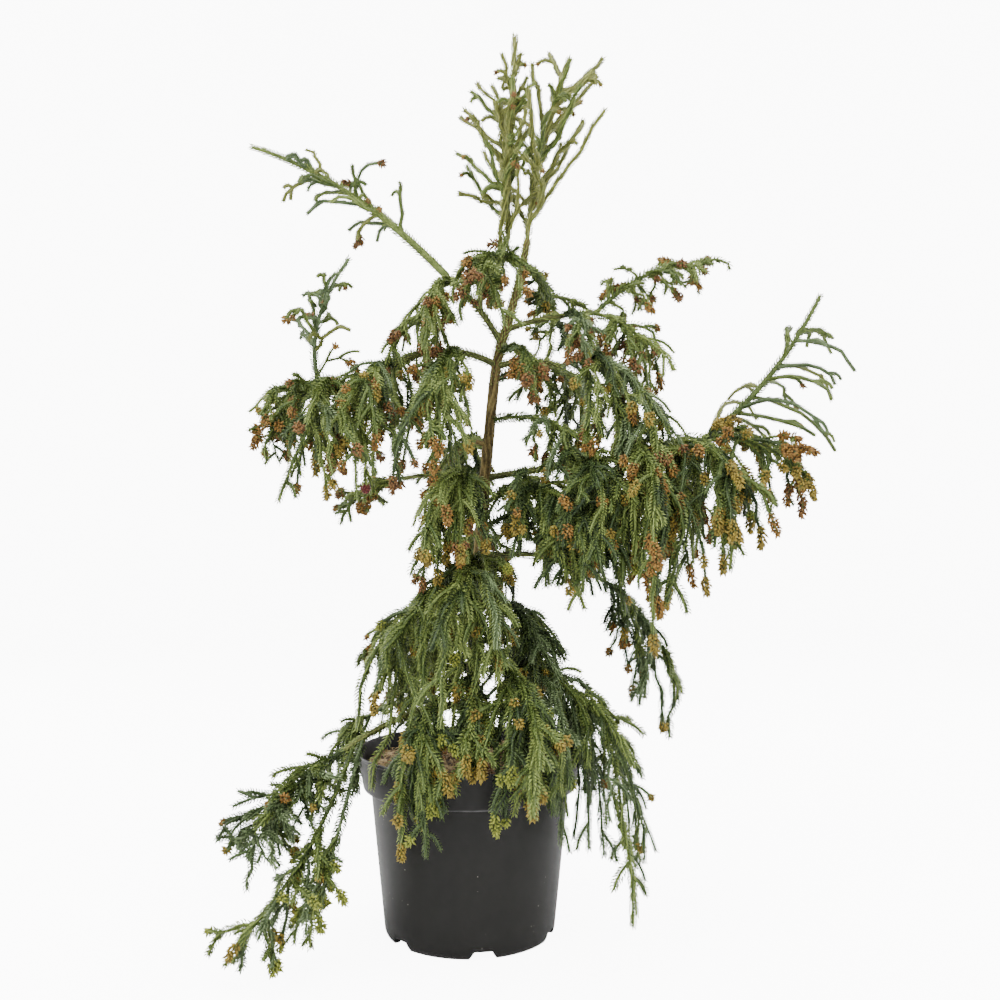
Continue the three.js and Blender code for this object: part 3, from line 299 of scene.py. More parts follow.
MASSES: tuple[Mass, ...] = (
    Mass("crown_right", "trunk", 1, (100, 12, 873), (-6, 0, 0), CORD, Palette.CROWN,
         11, 14, (0.02, 0.88), (126, 50), 36, -0.1, 0, 0.03, 3.2, face=0, spread=230),
    Mass("crown_middle", "left_leader", 0.8, (45, -6, 889), (3, -12, 0), CORD, Palette.CROWN,
         12, 8, (0.2, 0.84), (78, 28), 22, -0.12, 0.1, 0, 2.6),
    Mass("crown_left", "left_leader", 1, (32, 8, 822), (2, 0, 0), CORD, Palette.CROWN,
         13, 13, (0.02, 0.9), (86, 56), 46, -0.08, 0.12, 0.06, 3.4, face=180, spread=270),
    Mass("left_whip", "left_limb", 1, (-214, -24, 773), (0, 0, 18), WHIP, Palette.WHIP,
         14, 11, (0.2, 0.72), (66, 40), 40, 0.02, 0.5, 0.12, 6, face=90, spread=360),
    Mass("left_upright", "outer_left_bough", 0.9, (-115, -40, 661), (-18, 0, 0), WHIP, Palette.WHIP,
         15, 9, (0.3, 0.8), (54, 30), 44, -0.02, 0.6, 0.04, 3.2, face=180, spread=300),
    Mass("right_whip", "lower_right_bough", 1, (344, -24, 628), (8, 0, -9), WHIP, Palette.WHIP,
         16, 11, (0.04, 0.84), (142, 54), 50, 0.22, 0.2, 0, 5, face=90, spread=240),
    Mass("upper_left", "left_limb", 0.86, (-50, -34, 602), (0, 0, 14), ROPE, Palette.UPPER,
         21, 9, (0.25, 1), (56, 84), 50, 0.8, 0, 0.37, 3.2),
    Mass("upper_front", "trunk", 662, (8, -62, 650), (0, 0, 10), BUSH, Palette.UPPER,
         22, 8, (0.25, 1), (54, 74), 55, 0.45, 0, 0.19, 3.4),
    Mass("upper_back", "trunk", 660, (94, 78, 614), (0, 0, 16), BUSH, Palette.BACK,
         23, 6, (0.25, 1), (42, 54), 55, 0.3, 0, 0.12, 3.4),
    Mass("upper_right", "upper_right_bough", 1, (241, 46, 670), (0, 0, 16), ROPE, Palette.UPPER,
         24, 9, (0.08, 1), (52, 34), 46, 0.35, 0, 0.12, 4.4, spread=340),
    Mass("upper_right_fall", "upper_right_bough", 0.9, (176, -14, 580), (0, 0, 8), ROPE, Palette.UPPER,
         25, 8, (0.3, 1), (48, 68), 50, 0.8, 0, 0.31, 3.0),
    Mass("upper_right_inner", "upper_right_bough", 0.66, (112, -56, 590), (0, 0, 8), ROPE, Palette.UPPER,
         26, 5, (0.4, 1), (40, 50), 50, 0.9, 0, 0.43, 2.8),
    Mass("fork_cones", "trunk", 574, (62, -46, 560), (0, 0, 10), ROPE, Palette.UPPER,
         27, 5, (0.45, 1), (30, 42), 50, 0.9, 0, 0.62, 2.6),
    Mass("middle_right", "middle_right_bough", 1, (176, -62, 512), (0, 0, 24), BUSH, Palette.MIDDLE,
         28, 12, (0.06, 1), (84, 104), 50, 0.8, 0, 0.28, 5),
    Mass("middle_right_back", "trunk", 546, (130, 112, 548), (0, 0, 20), BUSH, Palette.BACK,
         29, 8, (0.3, 1), (70, 92), 52, 0.7, 0, 0.19, 3.4),
    Mass("middle_right_inner", "trunk", 506, (104, -52, 488), (0, 0, 10), ROPE, Palette.MIDDLE,
         30, 6, (0.55, 1), (50, 62), 50, 0.9, 0, 0.43, 2.6),
    Mass("middle_left_inner", "middle_left_bough", 0.34, (-32, -84, 528), (0, 0, 14), BUSH, Palette.MIDDLE,
         31, 9, (0.3, 1), (70, 104), 50, 0.8, 0, 0.31, 3.4),
    Mass("middle_left", "middle_left_bough", 0.92, (-118, -86, 508), (0, 0, 14), BUSH, Palette.MIDDLE,
         32, 11, (0.2, 1), (74, 96), 54, 0.7, 0, 0.25, 3.6),
    Mass("left_inner_fall", "outer_left_bough", 0.62, (-146, -104, 492), (0, 0, 22), ROPE, Palette.MIDDLE,
         58, 8, (0.1, 1), (66, 84), 50, 0.7, 0, 0.25, 3.4),
    Mass("middle_left_back", "middle_left_bough", 0.72, (-96, 66, 524), (0, 0, 16), BUSH, Palette.BACK,
         33, 8, (0.25, 1), (66, 88), 54, 0.7, 0, 0.19, 3.4),
    Mass("outer_left", "outer_left_bough", 1, (-186, -46, 494), (0, 0, 24), ROPE, Palette.MIDDLE,
         34, 11, (0.02, 0.94), (76, 50), 58, 0.55, 0, 0.2, 3.4, spread=360),
    Mass("left_column", "trunk", 430, (-18, -74, 444), (0, 0, 14), BUSH, Palette.COLUMN,
         35, 9, (0.35, 1), (84, 112), 34, 0.9, 0, 0.37, 3.2),
    Mass("low_left_twigs", "low_left_twig_bough", 1, (-128, 34, 428), (0, 0, 4), ROPE, Palette.MIDDLE,
         36, 4, (0.1, 1), (40, 40), 44, 0.3, 0, 0.19, 2.8),
    Mass("outer_right", "lower_right_bough", 0.92, (318, -46, 458), (0, -12, 16), ROPE, Palette.RIGHT,
         37, 8, (0.2, 1), (54, 62), 48, 0.28, 0, 0.22, 3.2, spread=340),
    Mass("right_fall_inner", "lower_right_bough", 0.6, (186, -92, 436), (0, 0, 22), BUSH, Palette.RIGHT,
         38, 12, (0.2, 1), (110, 150), 52, 0.9, 0, 0.31, 4.2),
    Mass("right_fall_outer", "lower_right_bough", 0.8, (250, -90, 444), (0, 0, 20), BUSH, Palette.RIGHT,
         39, 12, (0.2, 1), (118, 86), 52, 0.9, 0, 0.31, 4.2),
    Mass("right_fall_back", "lower_right_bough", 0.8, (232, 78, 438), (0, 0, 20), BUSH, Palette.BACK,
         40, 8, (0.2, 1), (78, 98), 52, 0.8, 0, 0.25, 3.6),
    Mass("centre_right", "trunk", 420, (106, -74, 410), (0, 0, 26), BUSH, Palette.CENTRE,
         41, 11, (0.25, 1), (76, 100), 50, 0.7, 0, 0.12, 4),
    Mass("centre_right_upper", "lower_right_bough", 0.36, (128, -82, 446), (0, 0, 14), BUSH, Palette.CENTRE,
         59, 10, (0.1, 1), (84, 112), 48, 0.8, 0, 0.15, 4),
    Mass("centre_right_back", "trunk", 398, (130, 98, 398), (0, 0, 18), BUSH, Palette.BACK,
         42, 9, (0.3, 1), (70, 96), 52, 0.7, 0, 0.15, 3.6),
    Mass("right_strands", "lowest_right_bough", 1, (194, 34, 262), (0, 0, 14), ROPE, Palette.STRANDS,
         43, 8, (0.1, 1), (58, 92), 44, 0.9, 0, 0.31, 2.8),
    Mass("centre_front", "trunk", 352, (-2, -100, 336), (0, 0, 24), BUSH, Palette.SKIRT,
         44, 10, (0.25, 1), (100, 132), 50, 0.9, 0, 0.19, 4.4),
    Mass("centre_right_low", "trunk", 322, (72, -30, 294), (0, 0, 14), ROPE, Palette.STRANDS,
         60, 9, (0.35, 1), (58, 84), 48, 0.8, 0, 0.06, 3.4),
    Mass("lower_left", "trunk", 330, (-68, -84, 292), (0, 0, 30), BUSH, Palette.SKIRT,
         45, 10, (0.2, 1), (88, 124), 50, 0.8, 0, 0.09, 4.2),
    Mass("lower_left_back", "trunk", 318, (-92, 86, 282), (0, 0, 28), BUSH, Palette.BACK,
         46, 7, (0.25, 1), (62, 88), 50, 0.7, 0, 0.09, 3.6),
    Mass("back_middle", "trunk", 372, (12, 140, 350), (0, 0, 24), BUSH, Palette.BACK,
         47, 8, (0.25, 1), (86, 118), 50, 0.8, 0, 0.19, 3.6),
    Mass("back_upper", "trunk", 474, (-16, 116, 462), (0, 0, 20), BUSH, Palette.BACK,
         48, 7, (0.3, 1), (68, 92), 50, 0.7, 0, 0.19, 3.4),
    Mass("low_front_left", "trunk", 238, (-46, -134, 206), (0, 0, 24), BUSH, Palette.RIM,
         49, 8, (0.7, 1), (70, 104), 46, 1, 0, 0.3, 3.4),
    Mass("low_front", "trunk", 262, (4, -128, 214), (0, 0, 24), BUSH, Palette.RIM,
         50, 6, (0.5, 1), (43, 59), 46, 0.8, 0, 0.4, 3.4),
    Mass("low_front_right", "trunk", 268, (68, -136, 221), (0, 0, 22), BUSH, Palette.RIM,
         51, 9, (0.5, 1), (78, 114), 48, 0.8, 0, 0.09, 4),
    Mass("low_right", "trunk", 252, (136, -76, 206), (0, 0, 30), ROPE, Palette.STRANDS,
         52, 13, (0.4, 1), (112, 192), 44, 0.9, 0, 0, 4),
    Mass("low_left_fan", "lowest_left_bough", 1, (-200, -92, 120), (0, 0, 8), ROPE, Palette.STRANDS,
         53, 13, (0.15, 1), (48, 62), 48, 0.2, 0, 0.06, 3.4),
    Mass("low_left_fall", "lowest_left_bough", 0.93, (-196, -152, 44), (7, 0, -12), ROPE, Palette.TIPS,
         74, 10, (0.36, 1), (62, 58), 50, 0.35, 0, 0.2, 3.2),
    Mass("low_left_inner", "lowest_left_bough", 0.86, (-132, -132, 62), (0, 0, 0), ROPE, Palette.TIPS,
         61, 6, (0.55, 1), (50, 58), 46, 0.45, 0, 0.12, 3, face=0, spread=170),
    Mass("rim_left_strands", "trunk", 212, (-126, 30, 192), (0, 0, 20), ROPE, Palette.STRANDS,
         55, 4, (0.8, 1), (76, 104), 40, 0.7, 0, 0, 2.4),
    Mass("low_back_left", "trunk", 250, (-70, 134, 222), (0, 0, 26), BUSH, Palette.BACK,
         56, 6, (0.5, 1), (58, 84), 48, 0.5, 0, 0.12, 3.6),
    Mass("low_back_right", "trunk", 262, (84, 118, 216), (0, 0, 26), BUSH, Palette.BACK,
         57, 6, (0.35, 1), (58, 84), 48, 0.5, 0, 0.12, 3.6),
)


@dataclass(frozen=True)
class GrowthRule:
    """Numbers of the seeded rule that the solids grow by, and of its finer twigs."""

    golden: float = 0.618034
    upright: float = 0.8
    place_jitter: float = 0.4
    fan_jitter: float = 0.1
    lean: Pair = (0.8, 1.2)
    reach: Pair = (0.78, 1.16)
    wander: float = 0.22
    hook_steps: int = 2
    steps: int = 6
    fewest_steps: int = 3
    thickest: float = 7.0
    clearance: float = 1.1
    floor: float = 7.0
    slide: float = 12.0
    sink: float = 0.985
    most_fruiting: float = 0.85
    finer_reach: float = 0.88
    finer_lean: Pair = (0.6, 1.65)
    finer_weep: Pair = (0.5, 1.0)
    finer_wander: float = 0.75
    finer_room: float = 10.0
    sway: Vector3 = (1.5, 1.5, 0.4)
    size: Pair = (0.86, 1.12)
    bare: Vector3 = (0.03, 0.05, 0.06)
    leafy: float = 0.7
    thickest_stem: Pair = (2.5, 4.0)
    stem_needles: float = 1.42
    bough_needles: float = 1.05
    plumb: float = 0.05


@dataclass(frozen=True)
class TwigletRule:
    """Numbers of the short side twiglets: shares of their parent, angles in radians."""

    seed: int = 404
    start: Pair = (0.14, 0.84)
    length: Pair = (0.28, 0.52)
    shortening: Pair = (1.1, 0.6)
    turn_jitter: float = 0.7
    lean: Pair = (0.7, 1.22)
    weep: Pair = (0.16, 0.5)
    hook: float = 0.8
    hook_steps: int = 2
    size: Pair = (0.78, 0.95)
    bare: float = 0.04
    clearance: float = 5.0
    room: float = 13.0


RULE = GrowthRule()
TWIGLET = TwigletRule()
POT = PotSizes()
SOIL = SoilSizes()


# ===== Curves =====


def unit(vectors: Array) -> Array:
    """Vectors scaled to length one along their last axis."""
    return vectors / np.maximum(np.linalg.norm(vectors, axis=-1, keepdims=True), 1e-9)


def spline(points: Array, which: Array, share: Array) -> tuple[Array, Array]:
    """Reads many places on many Catmull-Rom curves at once.

    Formula: with corners a, b, c, d round a place and t from 0 to 1 between b and c, the place
    is half of 2b + (c-a)t + (2a-5b+4c-d)t^2 + (3b-a-3c+d)t^3.

    Args:
        points: corners of every curve, shape (curves, corners, 3).
        which: the curve of each place, shape (places,).
        share: how far along its curve each place is, 0 to 1, shape (places,).

    Returns:
        The places and their unit tangents, both of shape (places, 3).
    """
    first = 2 * points[:, :1] - points[:, 1:2]
    last = 2 * points[:, -1:] - points[:, -2:-1]
    padded = np.concatenate((first, points, last), axis=1)
    along = np.clip(share, 0.0, 1.0 - 1e-6) * (points.shape[1] - 1)
    cell = along.astype(int)
    t = (along - cell)[:, None]
    a, b, c, d = (padded[which, cell + k] for k in range(4))
    square = 2 * a - 5 * b + 4 * c - d
    cube = 3 * b - a - 3 * c + d
    place = 0.5 * (2 * b + (c - a) * t + square * t**2 + cube * t**3)
    return place, unit(0.5 * ((c - a) + 2 * square * t + 3 * cube * t**2))


def read(line: Array, share: Array | Sequence[float]) -> tuple[Array, Array]:
    """Reads places on one Catmull-Rom curve, and the unit tangents there."""
    return spline(line[None], np.zeros(len(share), int), np.asarray(share))


@dataclass
class Limb:
    """A tapering limb that others grow from."""

    points: Array
    radius_at: Callable[[Array], Array]


def arch(start: Array, to: Vector3, rise: Vector3, corners: int = 17) -> Array:
    """Corners of a curve that leaves start, rises in its middle and ends at to.

    Args:
        start: first corner.
        to: last corner.
        rise: how far the middle lies off the straight line.
        corners: how many corners to return.

    Returns:
        Array of shape (corners, 3).
    """
    end = np.array(to, float)
    pull = (start + end) / 2 + 2 * np.array(rise, float)
    t = np.linspace(0.0, 1.0, corners)[:, None]
    return start * (1 - t) ** 2 + 2 * pull * t * (1 - t) + end * t**2


def even_corners(points: Array, corners: int) -> Array:
    """The same polyline with another number of evenly spread corners."""
    old, new = (np.linspace(0.0, 1.0, number) for number in (len(points), corners))
    return np.stack([np.interp(new, old, points[:, axis]) for axis in range(3)], axis=1)


class SeededRandom:
    """The 32-bit random numbers from 0 to 1 that the solids are grown with."""

    MASK = 0xFFFFFFFF
    STEP = 0x6D2B79F5

    def __init__(self, seed: int) -> None:
        self.state = seed & self.MASK

    def __call__(self) -> float:
        """Returns the next number."""
        self.state = (self.state + self.STEP) & self.MASK
        mixed = ((self.state ^ (self.state >> 15)) * (self.state | 1)) & self.MASK
        mixed ^= (mixed + (((mixed ^ (mixed >> 7)) * (mixed | 61)) & self.MASK)) & self.MASK
        return (mixed ^ (mixed >> 14)) / (self.MASK + 1)


def mix(low: float, high: float, share: float) -> float:
    """The number that lies share of the way from low to high."""
    return low + (high - low) * share


# ===== Shoots =====

HABITS = list(Habit)
TONES = list(Tone)
CONE_TONES = list(ConeTone)


@dataclass
class Shoots:
    """Many shoots of one corner count, kept as arrays.

    Attributes:
        points: corners in millimetres, shape (shoots, corners, 3).
        habit: index into HABITS.
        tone: index into TONES.
        mass: index into MASSES.
        size: scale of the needles.
        bare: share of the shoot at its root that carries no needles.
        cone: length of the cone cluster at the tip, 0 for none.
        cone_tone: index into CONE_TONES.
        root: core radius at the root in millimetres, 0 for the habit's own.
        end: core radius at the tip in millimetres, 0 for the habit's own.
    """

    points: Array
    habit: Array | int = 0
    tone: Array | int = 0
    mass: Array | int = 0
    size: Array | float = 0.0
    bare: Array | float = 0.0
    cone: Array | float = 0.0
    cone_tone: Array | int = 0
    root: Array | float = 0.0
    end: Array | float = 0.0

    def __post_init__(self) -> None:
        """Spreads what is given once over all the shoots."""
        for name in list(self.__dataclass_fields__)[1:]:
            setattr(self, name, np.broadcast_to(getattr(self, name), self.count))

    @property
    def count(self) -> int:
        """How many shoots there are."""
        return len(self.points)

    def lengths(self) -> Array:
        """Length of every shoot in millimetres."""
        return np.linalg.norm(np.diff(self.points, axis=1), axis=2).sum(axis=1)

    def pick(self, keep: Array) -> Shoots:
        """The shoots that a mask or an index array picks."""
        return Shoots(*(getattr(self, name)[keep] for name in self.__dataclass_fields__))

    @staticmethod
    def joined(parts: Sequence[Shoots]) -> Shoots:
        """Joins shoots of one corner count into one set."""
        names = Shoots.__dataclass_fields__
        return Shoots(*(np.concatenate([getattr(part, name) for part in parts]) for name in names))

    def of_habit(self, *names: str) -> list[Array]:
        """The named sizes of every shoot's habit."""
        return [np.array([getattr(habit, name) for habit in HABITS])[self.habit] for name in names]

    def core(self) -> tuple[Array, Array]:
        """The core radius of every shoot at its root and at its tip."""
        root, tip = self.of_habit("root", "tip")
        root = np.where(self.root > 0, self.root, root)
        return root, np.where(self.end > 0, self.end, np.minimum(tip, root))

    def side_axis(self) -> Array:
        """A level direction across each shoot, so that its rings don't twist where it bends."""
        chord = self.points[:, 1] - self.points[:, 0]
        across = np.cross(chord, DOWN)
        flat = np.linalg.norm(across, axis=1) < RULE.plumb * np.linalg.norm(chord, axis=1)
        across[flat] = np.array((1.0, 0.0, 0.0))
        return unit(across)


def deal(random: Random, shares: dict, order: list, count: int) -> Array:
    """Deals options out by their shares.

    Args:
        random: source of random numbers.
        shares: option to share.
        order: list that the returned numbers index.
        count: how many to deal.

    Returns:
        Indices into order, shape (count,).
    """
    weights = np.array(list(shares.values()), float)
    chosen = random.choice(len(weights), size=count, p=weights / weights.sum())
    return np.array([order.index(option) for option in shares])[chosen]


class Crown:
    """Every limb and every shoot of the plant, grown once and then dressed by others."""

    STEM_CORNERS = 17
    TWIG_CORNERS = 7
    SIDE_CORNERS = 5

    def __init__(self) -> None:
        self.limbs: dict[str, Limb] = {"trunk": self._trunk()}
        for bough in BOUGHS:
            self.limbs[bough.name] = self._bough(bough)
        self.rooms: list[tuple[Array, Array]] = []
        grown = [self._grow_mass(index, mass) for index, mass in enumerate(MASSES)]
        self.stems = Shoots.joined([stem for stem, _ in grown] + self._leafy_boughs())
        self.twigs = Shoots.joined([twigs for _, twigs in grown])
        self.sides = self._side_twiglets(self.twigs)
        LOG.info("%d stems, %d twigs, %d twiglets", self.stems.count, self.twigs.count, self.sides.count)

    @staticmethod
    def _trunk() -> Limb:
        """The trunk: flared at the compost, then a true taper."""
        points = np.array(TRUNK_LINE, float)

        def radius(share: Array) -> Array:
            """The radius at shares of the trunk's length."""
            above = np.maximum(read(points, share)[0][:, 2] - SOIL.top, 0.0)
            flare = ROOT_FLARE["extra"] * np.exp(-above / ROOT_FLARE["height"] * 2)
            return mix(*TRUNK_RADII, share) + flare

        return Limb(points, radius)

    def share_on(self, name: str, start: float) -> float:
        """Where on a limb another starts: a height on the trunk, a share on a bough."""
        if name != "trunk" or start <= 1:
            return start * RULE.sink
        shares = np.linspace(0.0, 1.0, 400)
        return float(np.interp(start, read(self.limbs[name].points, shares)[0][:, 2], shares))

    def start_on(self, grown: Bough | Mass) -> Array:
        """The place on its parent where a bough or a stem starts."""
        return read(self.limbs[grown.on].points, [self.share_on(grown.on, grown.start)])[0][0]

    def _bough(self, bough: Bough) -> Limb:
        """A bough from its parent to its end."""
        return Limb(arch(self.start_on(bough), bough.to, bough.rise),
                    lambda share: mix(*bough.radius, share))

    @staticmethod
    def _clear_of_pot(point: Array, radius: float) -> Array | None:
        """The point, or one slid out along the pot's wall, or None where the pot is in the way."""
        if point[2] < RULE.floor + radius:
            return None
        wall = POT.rim + radius + RULE.clearance
        outward = math.hypot(point[0], point[1])
        if outward >= wall or point[2] > POT.height + radius + RULE.clearance:
            return point
        if outward < POT.rim - RULE.slide:
            return None
        return np.array((point[0] * wall / outward, point[1] * wall / outward, point[2]))

    def _draw(self, mass: Mass, stem: Array, random: SeededRandom, count: int,
              finer: bool) -> tuple[list[Array], list[float]]:
        """Draws twigs by the rule and stops each at the pot or the floor.

        Args:
            mass: the spray.
            stem: corners of its stem.
            random: the spray's random numbers.
            count: twigs to draw.
            finer: whether these are the finer twigs between those of the solid.

        Returns:
            The twigs' corners and the length of each one's cone cluster, 0 for none.
        """
        rise = abs(stem[-1, 2] - stem[0, 2])
        upright = rise > RULE.upright * np.linalg.norm(stem[-1] - stem[0])
        radius = min(mass.habit.room, RULE.thickest)
        offset, scale = (mass.count, RULE.finer_reach) if finer else (0, 1.0)
        leans, wander = (RULE.finer_lean, RULE.finer_wander) if finer else (RULE.lean, RULE.wander)
        fruiting = min(mass.cones * mass.palette.value.fruiting, RULE.most_fruiting)
        curves, cones = [], []
        for i in range(count):
            share = (i + 0.5) / count
            along = mix(*mass.span, share + (random() - 0.5) * RULE.place_jitter / count)
            fan = ((i + offset) * RULE.golden) % 1 - 0.5 + (random() - 0.5) * RULE.fan_jitter
            turn = math.radians(mass.face + fan * mass.spread)
            lean = math.radians(mass.lean * mix(*leans, random()))
            length = mix(*mass.reach, share) * mix(*RULE.reach, random()) * scale
            bears = random() < fruiting
            cone = mix(*mass.palette.value.tip_cluster, random())
            drift = np.array((random() - 0.5, random() - 0.5, 0.0)) * wander
            weep = mass.weep * (mix(*RULE.finer_weep, random()) if finer else 1.0)
            place, tangent = (found[0] for found in read(stem, [along]))
            side = unit(np.cross((0, 1, 0), tangent) if upright else np.cross(tangent, DOWN))
            under = unit(np.cross(side, tangent))
            heading = (tangent * math.cos(lean) + side * math.cos(turn) * math.sin(lean)
                       + under * math.sin(turn) * math.sin(lean))
            points = [place]
            for step in range(RULE.steps):
                curl = mass.hook if step >= RULE.steps - RULE.hook_steps else 0.0
                pull = weep * (0.5 + step / RULE.steps) + curl
                heading = unit(heading + DOWN * pull + drift)
                following = self._clear_of_pot(points[-1] + heading * length / RULE.steps, radius)
                if following is None:
                    break
                points.append(following)
            if len(points) > RULE.fewest_steps:
                curves.append(even_corners(np.array(points), self.TWIG_CORNERS))
                cones.append(cone if bears else 0.0)
        return curves, cones

    def _in_room(self, points: Array, mass: Array, margin: float) -> Array:
        """Which points lie in the box of their own mass's solid, widened by a margin."""
        low, high = np.array(self.rooms)[mass].swapaxes(0, 1)
        return ((points > low - margin) & (points < high + margin)).all(axis=-1)

    def _grow_mass(self, index: int, mass: Mass) -> tuple[Shoots, Shoots]:
        """Grows one spray: its stem, the twigs of its solid, and finer twigs between them."""
        stem = arch(self.start_on(mass), mass.to, mass.rise, self.STEM_CORNERS)
        random, palette = SeededRandom(mass.seed), mass.palette.value
        curves, cones = self._draw(mass, stem, random, mass.count, False)
        corners = np.concatenate([*curves, stem])
        self.rooms.append((corners.min(axis=0), corners.max(axis=0)))
        extra = round(mass.count * palette.finer)
        for curve, cone in zip(*self._draw(mass, stem, random, extra, True)):
            within = self._in_room(curve, np.full(len(curve), index), RULE.finer_room)
            kept = len(curve) if within.all() else int(np.argmin(within))
            if kept > RULE.fewest_steps:
                curves.append(even_corners(curve[:kept], self.TWIG_CORNERS))
                cones.append(cone)
        deck = np.random.default_rng(mass.seed)
        count = len(curves)
        whip = mass.habit is Habit.WHIP
        habits = np.full(count, HABITS.index(mass.habit))
        slender = Habit.CORD if whip else Habit.THREAD
        habits[deck.random(count) < palette.thread] = HABITS.index(slender)
        tones = deal(deck, palette.tones, TONES, count + 1)
        cone_tones = deal(deck, palette.cones, CONE_TONES, count + 1)
        points = np.array(curves)
        points[:, 1:-1] += deck.normal(0.0, RULE.sway, points[:, 1:-1].shape)
        twigs = Shoots(points, habits, tones[1:], index, palette.vigour * deck.uniform(*RULE.size, count),
                       RULE.bare[1], np.array(cones), cone_tones[1:])
        spine = Shoots(
            stem[None], HABITS.index(Habit.ROPE if mass.habit is Habit.BUSH else mass.habit), tones[0],
            index, RULE.stem_needles * min(palette.vigour, 1.0), RULE.bare[0],
            root=min(mass.leafy * RULE.leafy, RULE.thickest_stem[whip]))
        return spine, twigs

    def _leafy_boughs(self) -> list[Shoots]:
        """The close green needles that clothe the boughs and the upper trunk."""
        clothed = []
        for name in [bough.name for bough in BOUGHS] + ["trunk"]:
            limb = self.limbs[name]
            bare = self.share_on(name, LEAFY_TRUNK_FROM) if name == "trunk" else 0.0
            share = np.linspace(bare, 1.0, self.STEM_CORNERS)
            radius = limb.radius_at(share)
            owner = next((index for index, mass in enumerate(MASSES) if mass.on == name), 0)
            clothed.append(Shoots(
                read(limb.points, share)[0][None], HABITS.index(Habit.WHIP), TONES.index(Tone.BRIGHT),
                owner, RULE.bough_needles, RULE.bare[2], root=radius[0], end=radius[-1]))
        return clothed

    def _side_twiglets(self, twigs: Shoots) -> Shoots:
        """Grows short side twiglets from the twigs, each weeping like its parent.

        Args:
            twigs: the parents.

        Returns:
            The twiglets that stay clear of the pot and the floor.
        """

        def own(name: str) -> Array:
            """A size of every twiglet's palette."""
            return np.array([getattr(mass.palette.value, name) for mass in MASSES])[here]

        rule, deck, here = TWIGLET, np.random.default_rng(TWIGLET.seed), twigs.mass
        number = np.floor(own("side") + deck.random(twigs.count)).astype(int)
        parent = np.repeat(np.arange(twigs.count), number)
        made = twigs.pick(parent)
        here, count = made.mass, made.count
        weep, hook = np.array([(mass.weep, mass.hook + mass.palette.value.curl) for mass in MASSES])[here].T
        share = deck.uniform(*rule.start, count)
        place, tangent = spline(twigs.points, parent, share)
        shorter = rule.shortening[0] - rule.shortening[1] * share
        length = twigs.lengths()[parent] * deck.uniform(*rule.length, count) * shorter
        length = np.clip(length, *own("twiglet").T)
        side = unit(np.cross(tangent, DOWN) + 1e-3)
        back = unit(np.cross(side, tangent))
        turn = deck.choice((0.0, math.pi), count) + deck.normal(0.0, rule.turn_jitter, count)
        lean = deck.uniform(*rule.lean, count)[:, None]
        around = side * np.cos(turn)[:, None] + back * np.sin(turn)[:, None]
        heading = tangent * np.cos(lean) + around * np.sin(lean)
        corners = [place]
        steps = self.SIDE_CORNERS - 1
        for step in range(steps):
            pull = weep * (rule.weep[0] + rule.weep[1] * step / steps)
            pull = pull + hook * rule.hook * (step >= steps - rule.hook_steps)
            heading = unit(heading + DOWN * pull[:, None])
            corners.append(corners[-1] + heading * (length / steps)[:, None])
        made.points = points = np.stack(corners, axis=1)
        outward = np.hypot(points[..., 0], points[..., 1])
        in_pot = (outward < POT.rim + rule.clearance) & (points[..., 2] < POT.height + rule.clearance)
        keep = ~(in_pot | (points[..., 2] < RULE.floor)).any(axis=1)
        made.bare = np.full(count, rule.bare)
        made.size = made.size * deck.uniform(*rule.size, count)
        bears = deck.random(count) < own("side_fruiting")
        made.cone = np.where(bears, mix(*own("cluster").T, deck.random(count)), 0.0)
        return made.pick(keep & self._in_room(points[:, -1], here, rule.room))


# ===== Meshes =====

TUBE_SEED = 51
TUBE_TINT = (0.13, 0.07)
UPRIGHT_PAST = 0.9


@dataclass
class Surface:
    """A triangle mesh in millimetres with one number per vertex for its finish."""

    points: Array
    triangles: Array
    tint: Array

    @staticmethod
    def joined(parts: Sequence[Surface]) -> Surface:
        """Joins surfaces into one."""
        starts = np.cumsum([0] + [len(part.points) for part in parts[:-1]])
        return Surface(
            np.concatenate([part.points for part in parts]),
            np.concatenate([part.triangles + start for part, start in zip(parts, starts)]),
            np.concatenate([part.tint for part in parts]),
        )

    @staticmethod
    def stamped(template: Array, faces: Array, tint: Array, origin: Array, axes: Array,
                own_tint: Array) -> Surface:
        """Sets copies of one small shape.

        Args:
            template: the shape's vertices, shape (v, 3).
            faces: its triangles, shape (f, 3).
            tint: its finish numbers, shape (v,).
            origin: place of every copy, shape (n, 3).
            axes: scaled x, y and z axes of every copy, shape (n, 3, 3), one axis a row.
            own_tint: number added to each copy's tint, shape (n,).

        Returns:
            The joined copies.
        """
        points = origin[:, None, :] + np.einsum("vk,nkc->nvc", template, axes)
        return Surface(points.reshape(-1, 3), repeated(faces, len(origin), len(template)),
                       (tint[None] + own_tint[:, None]).reshape(-1))


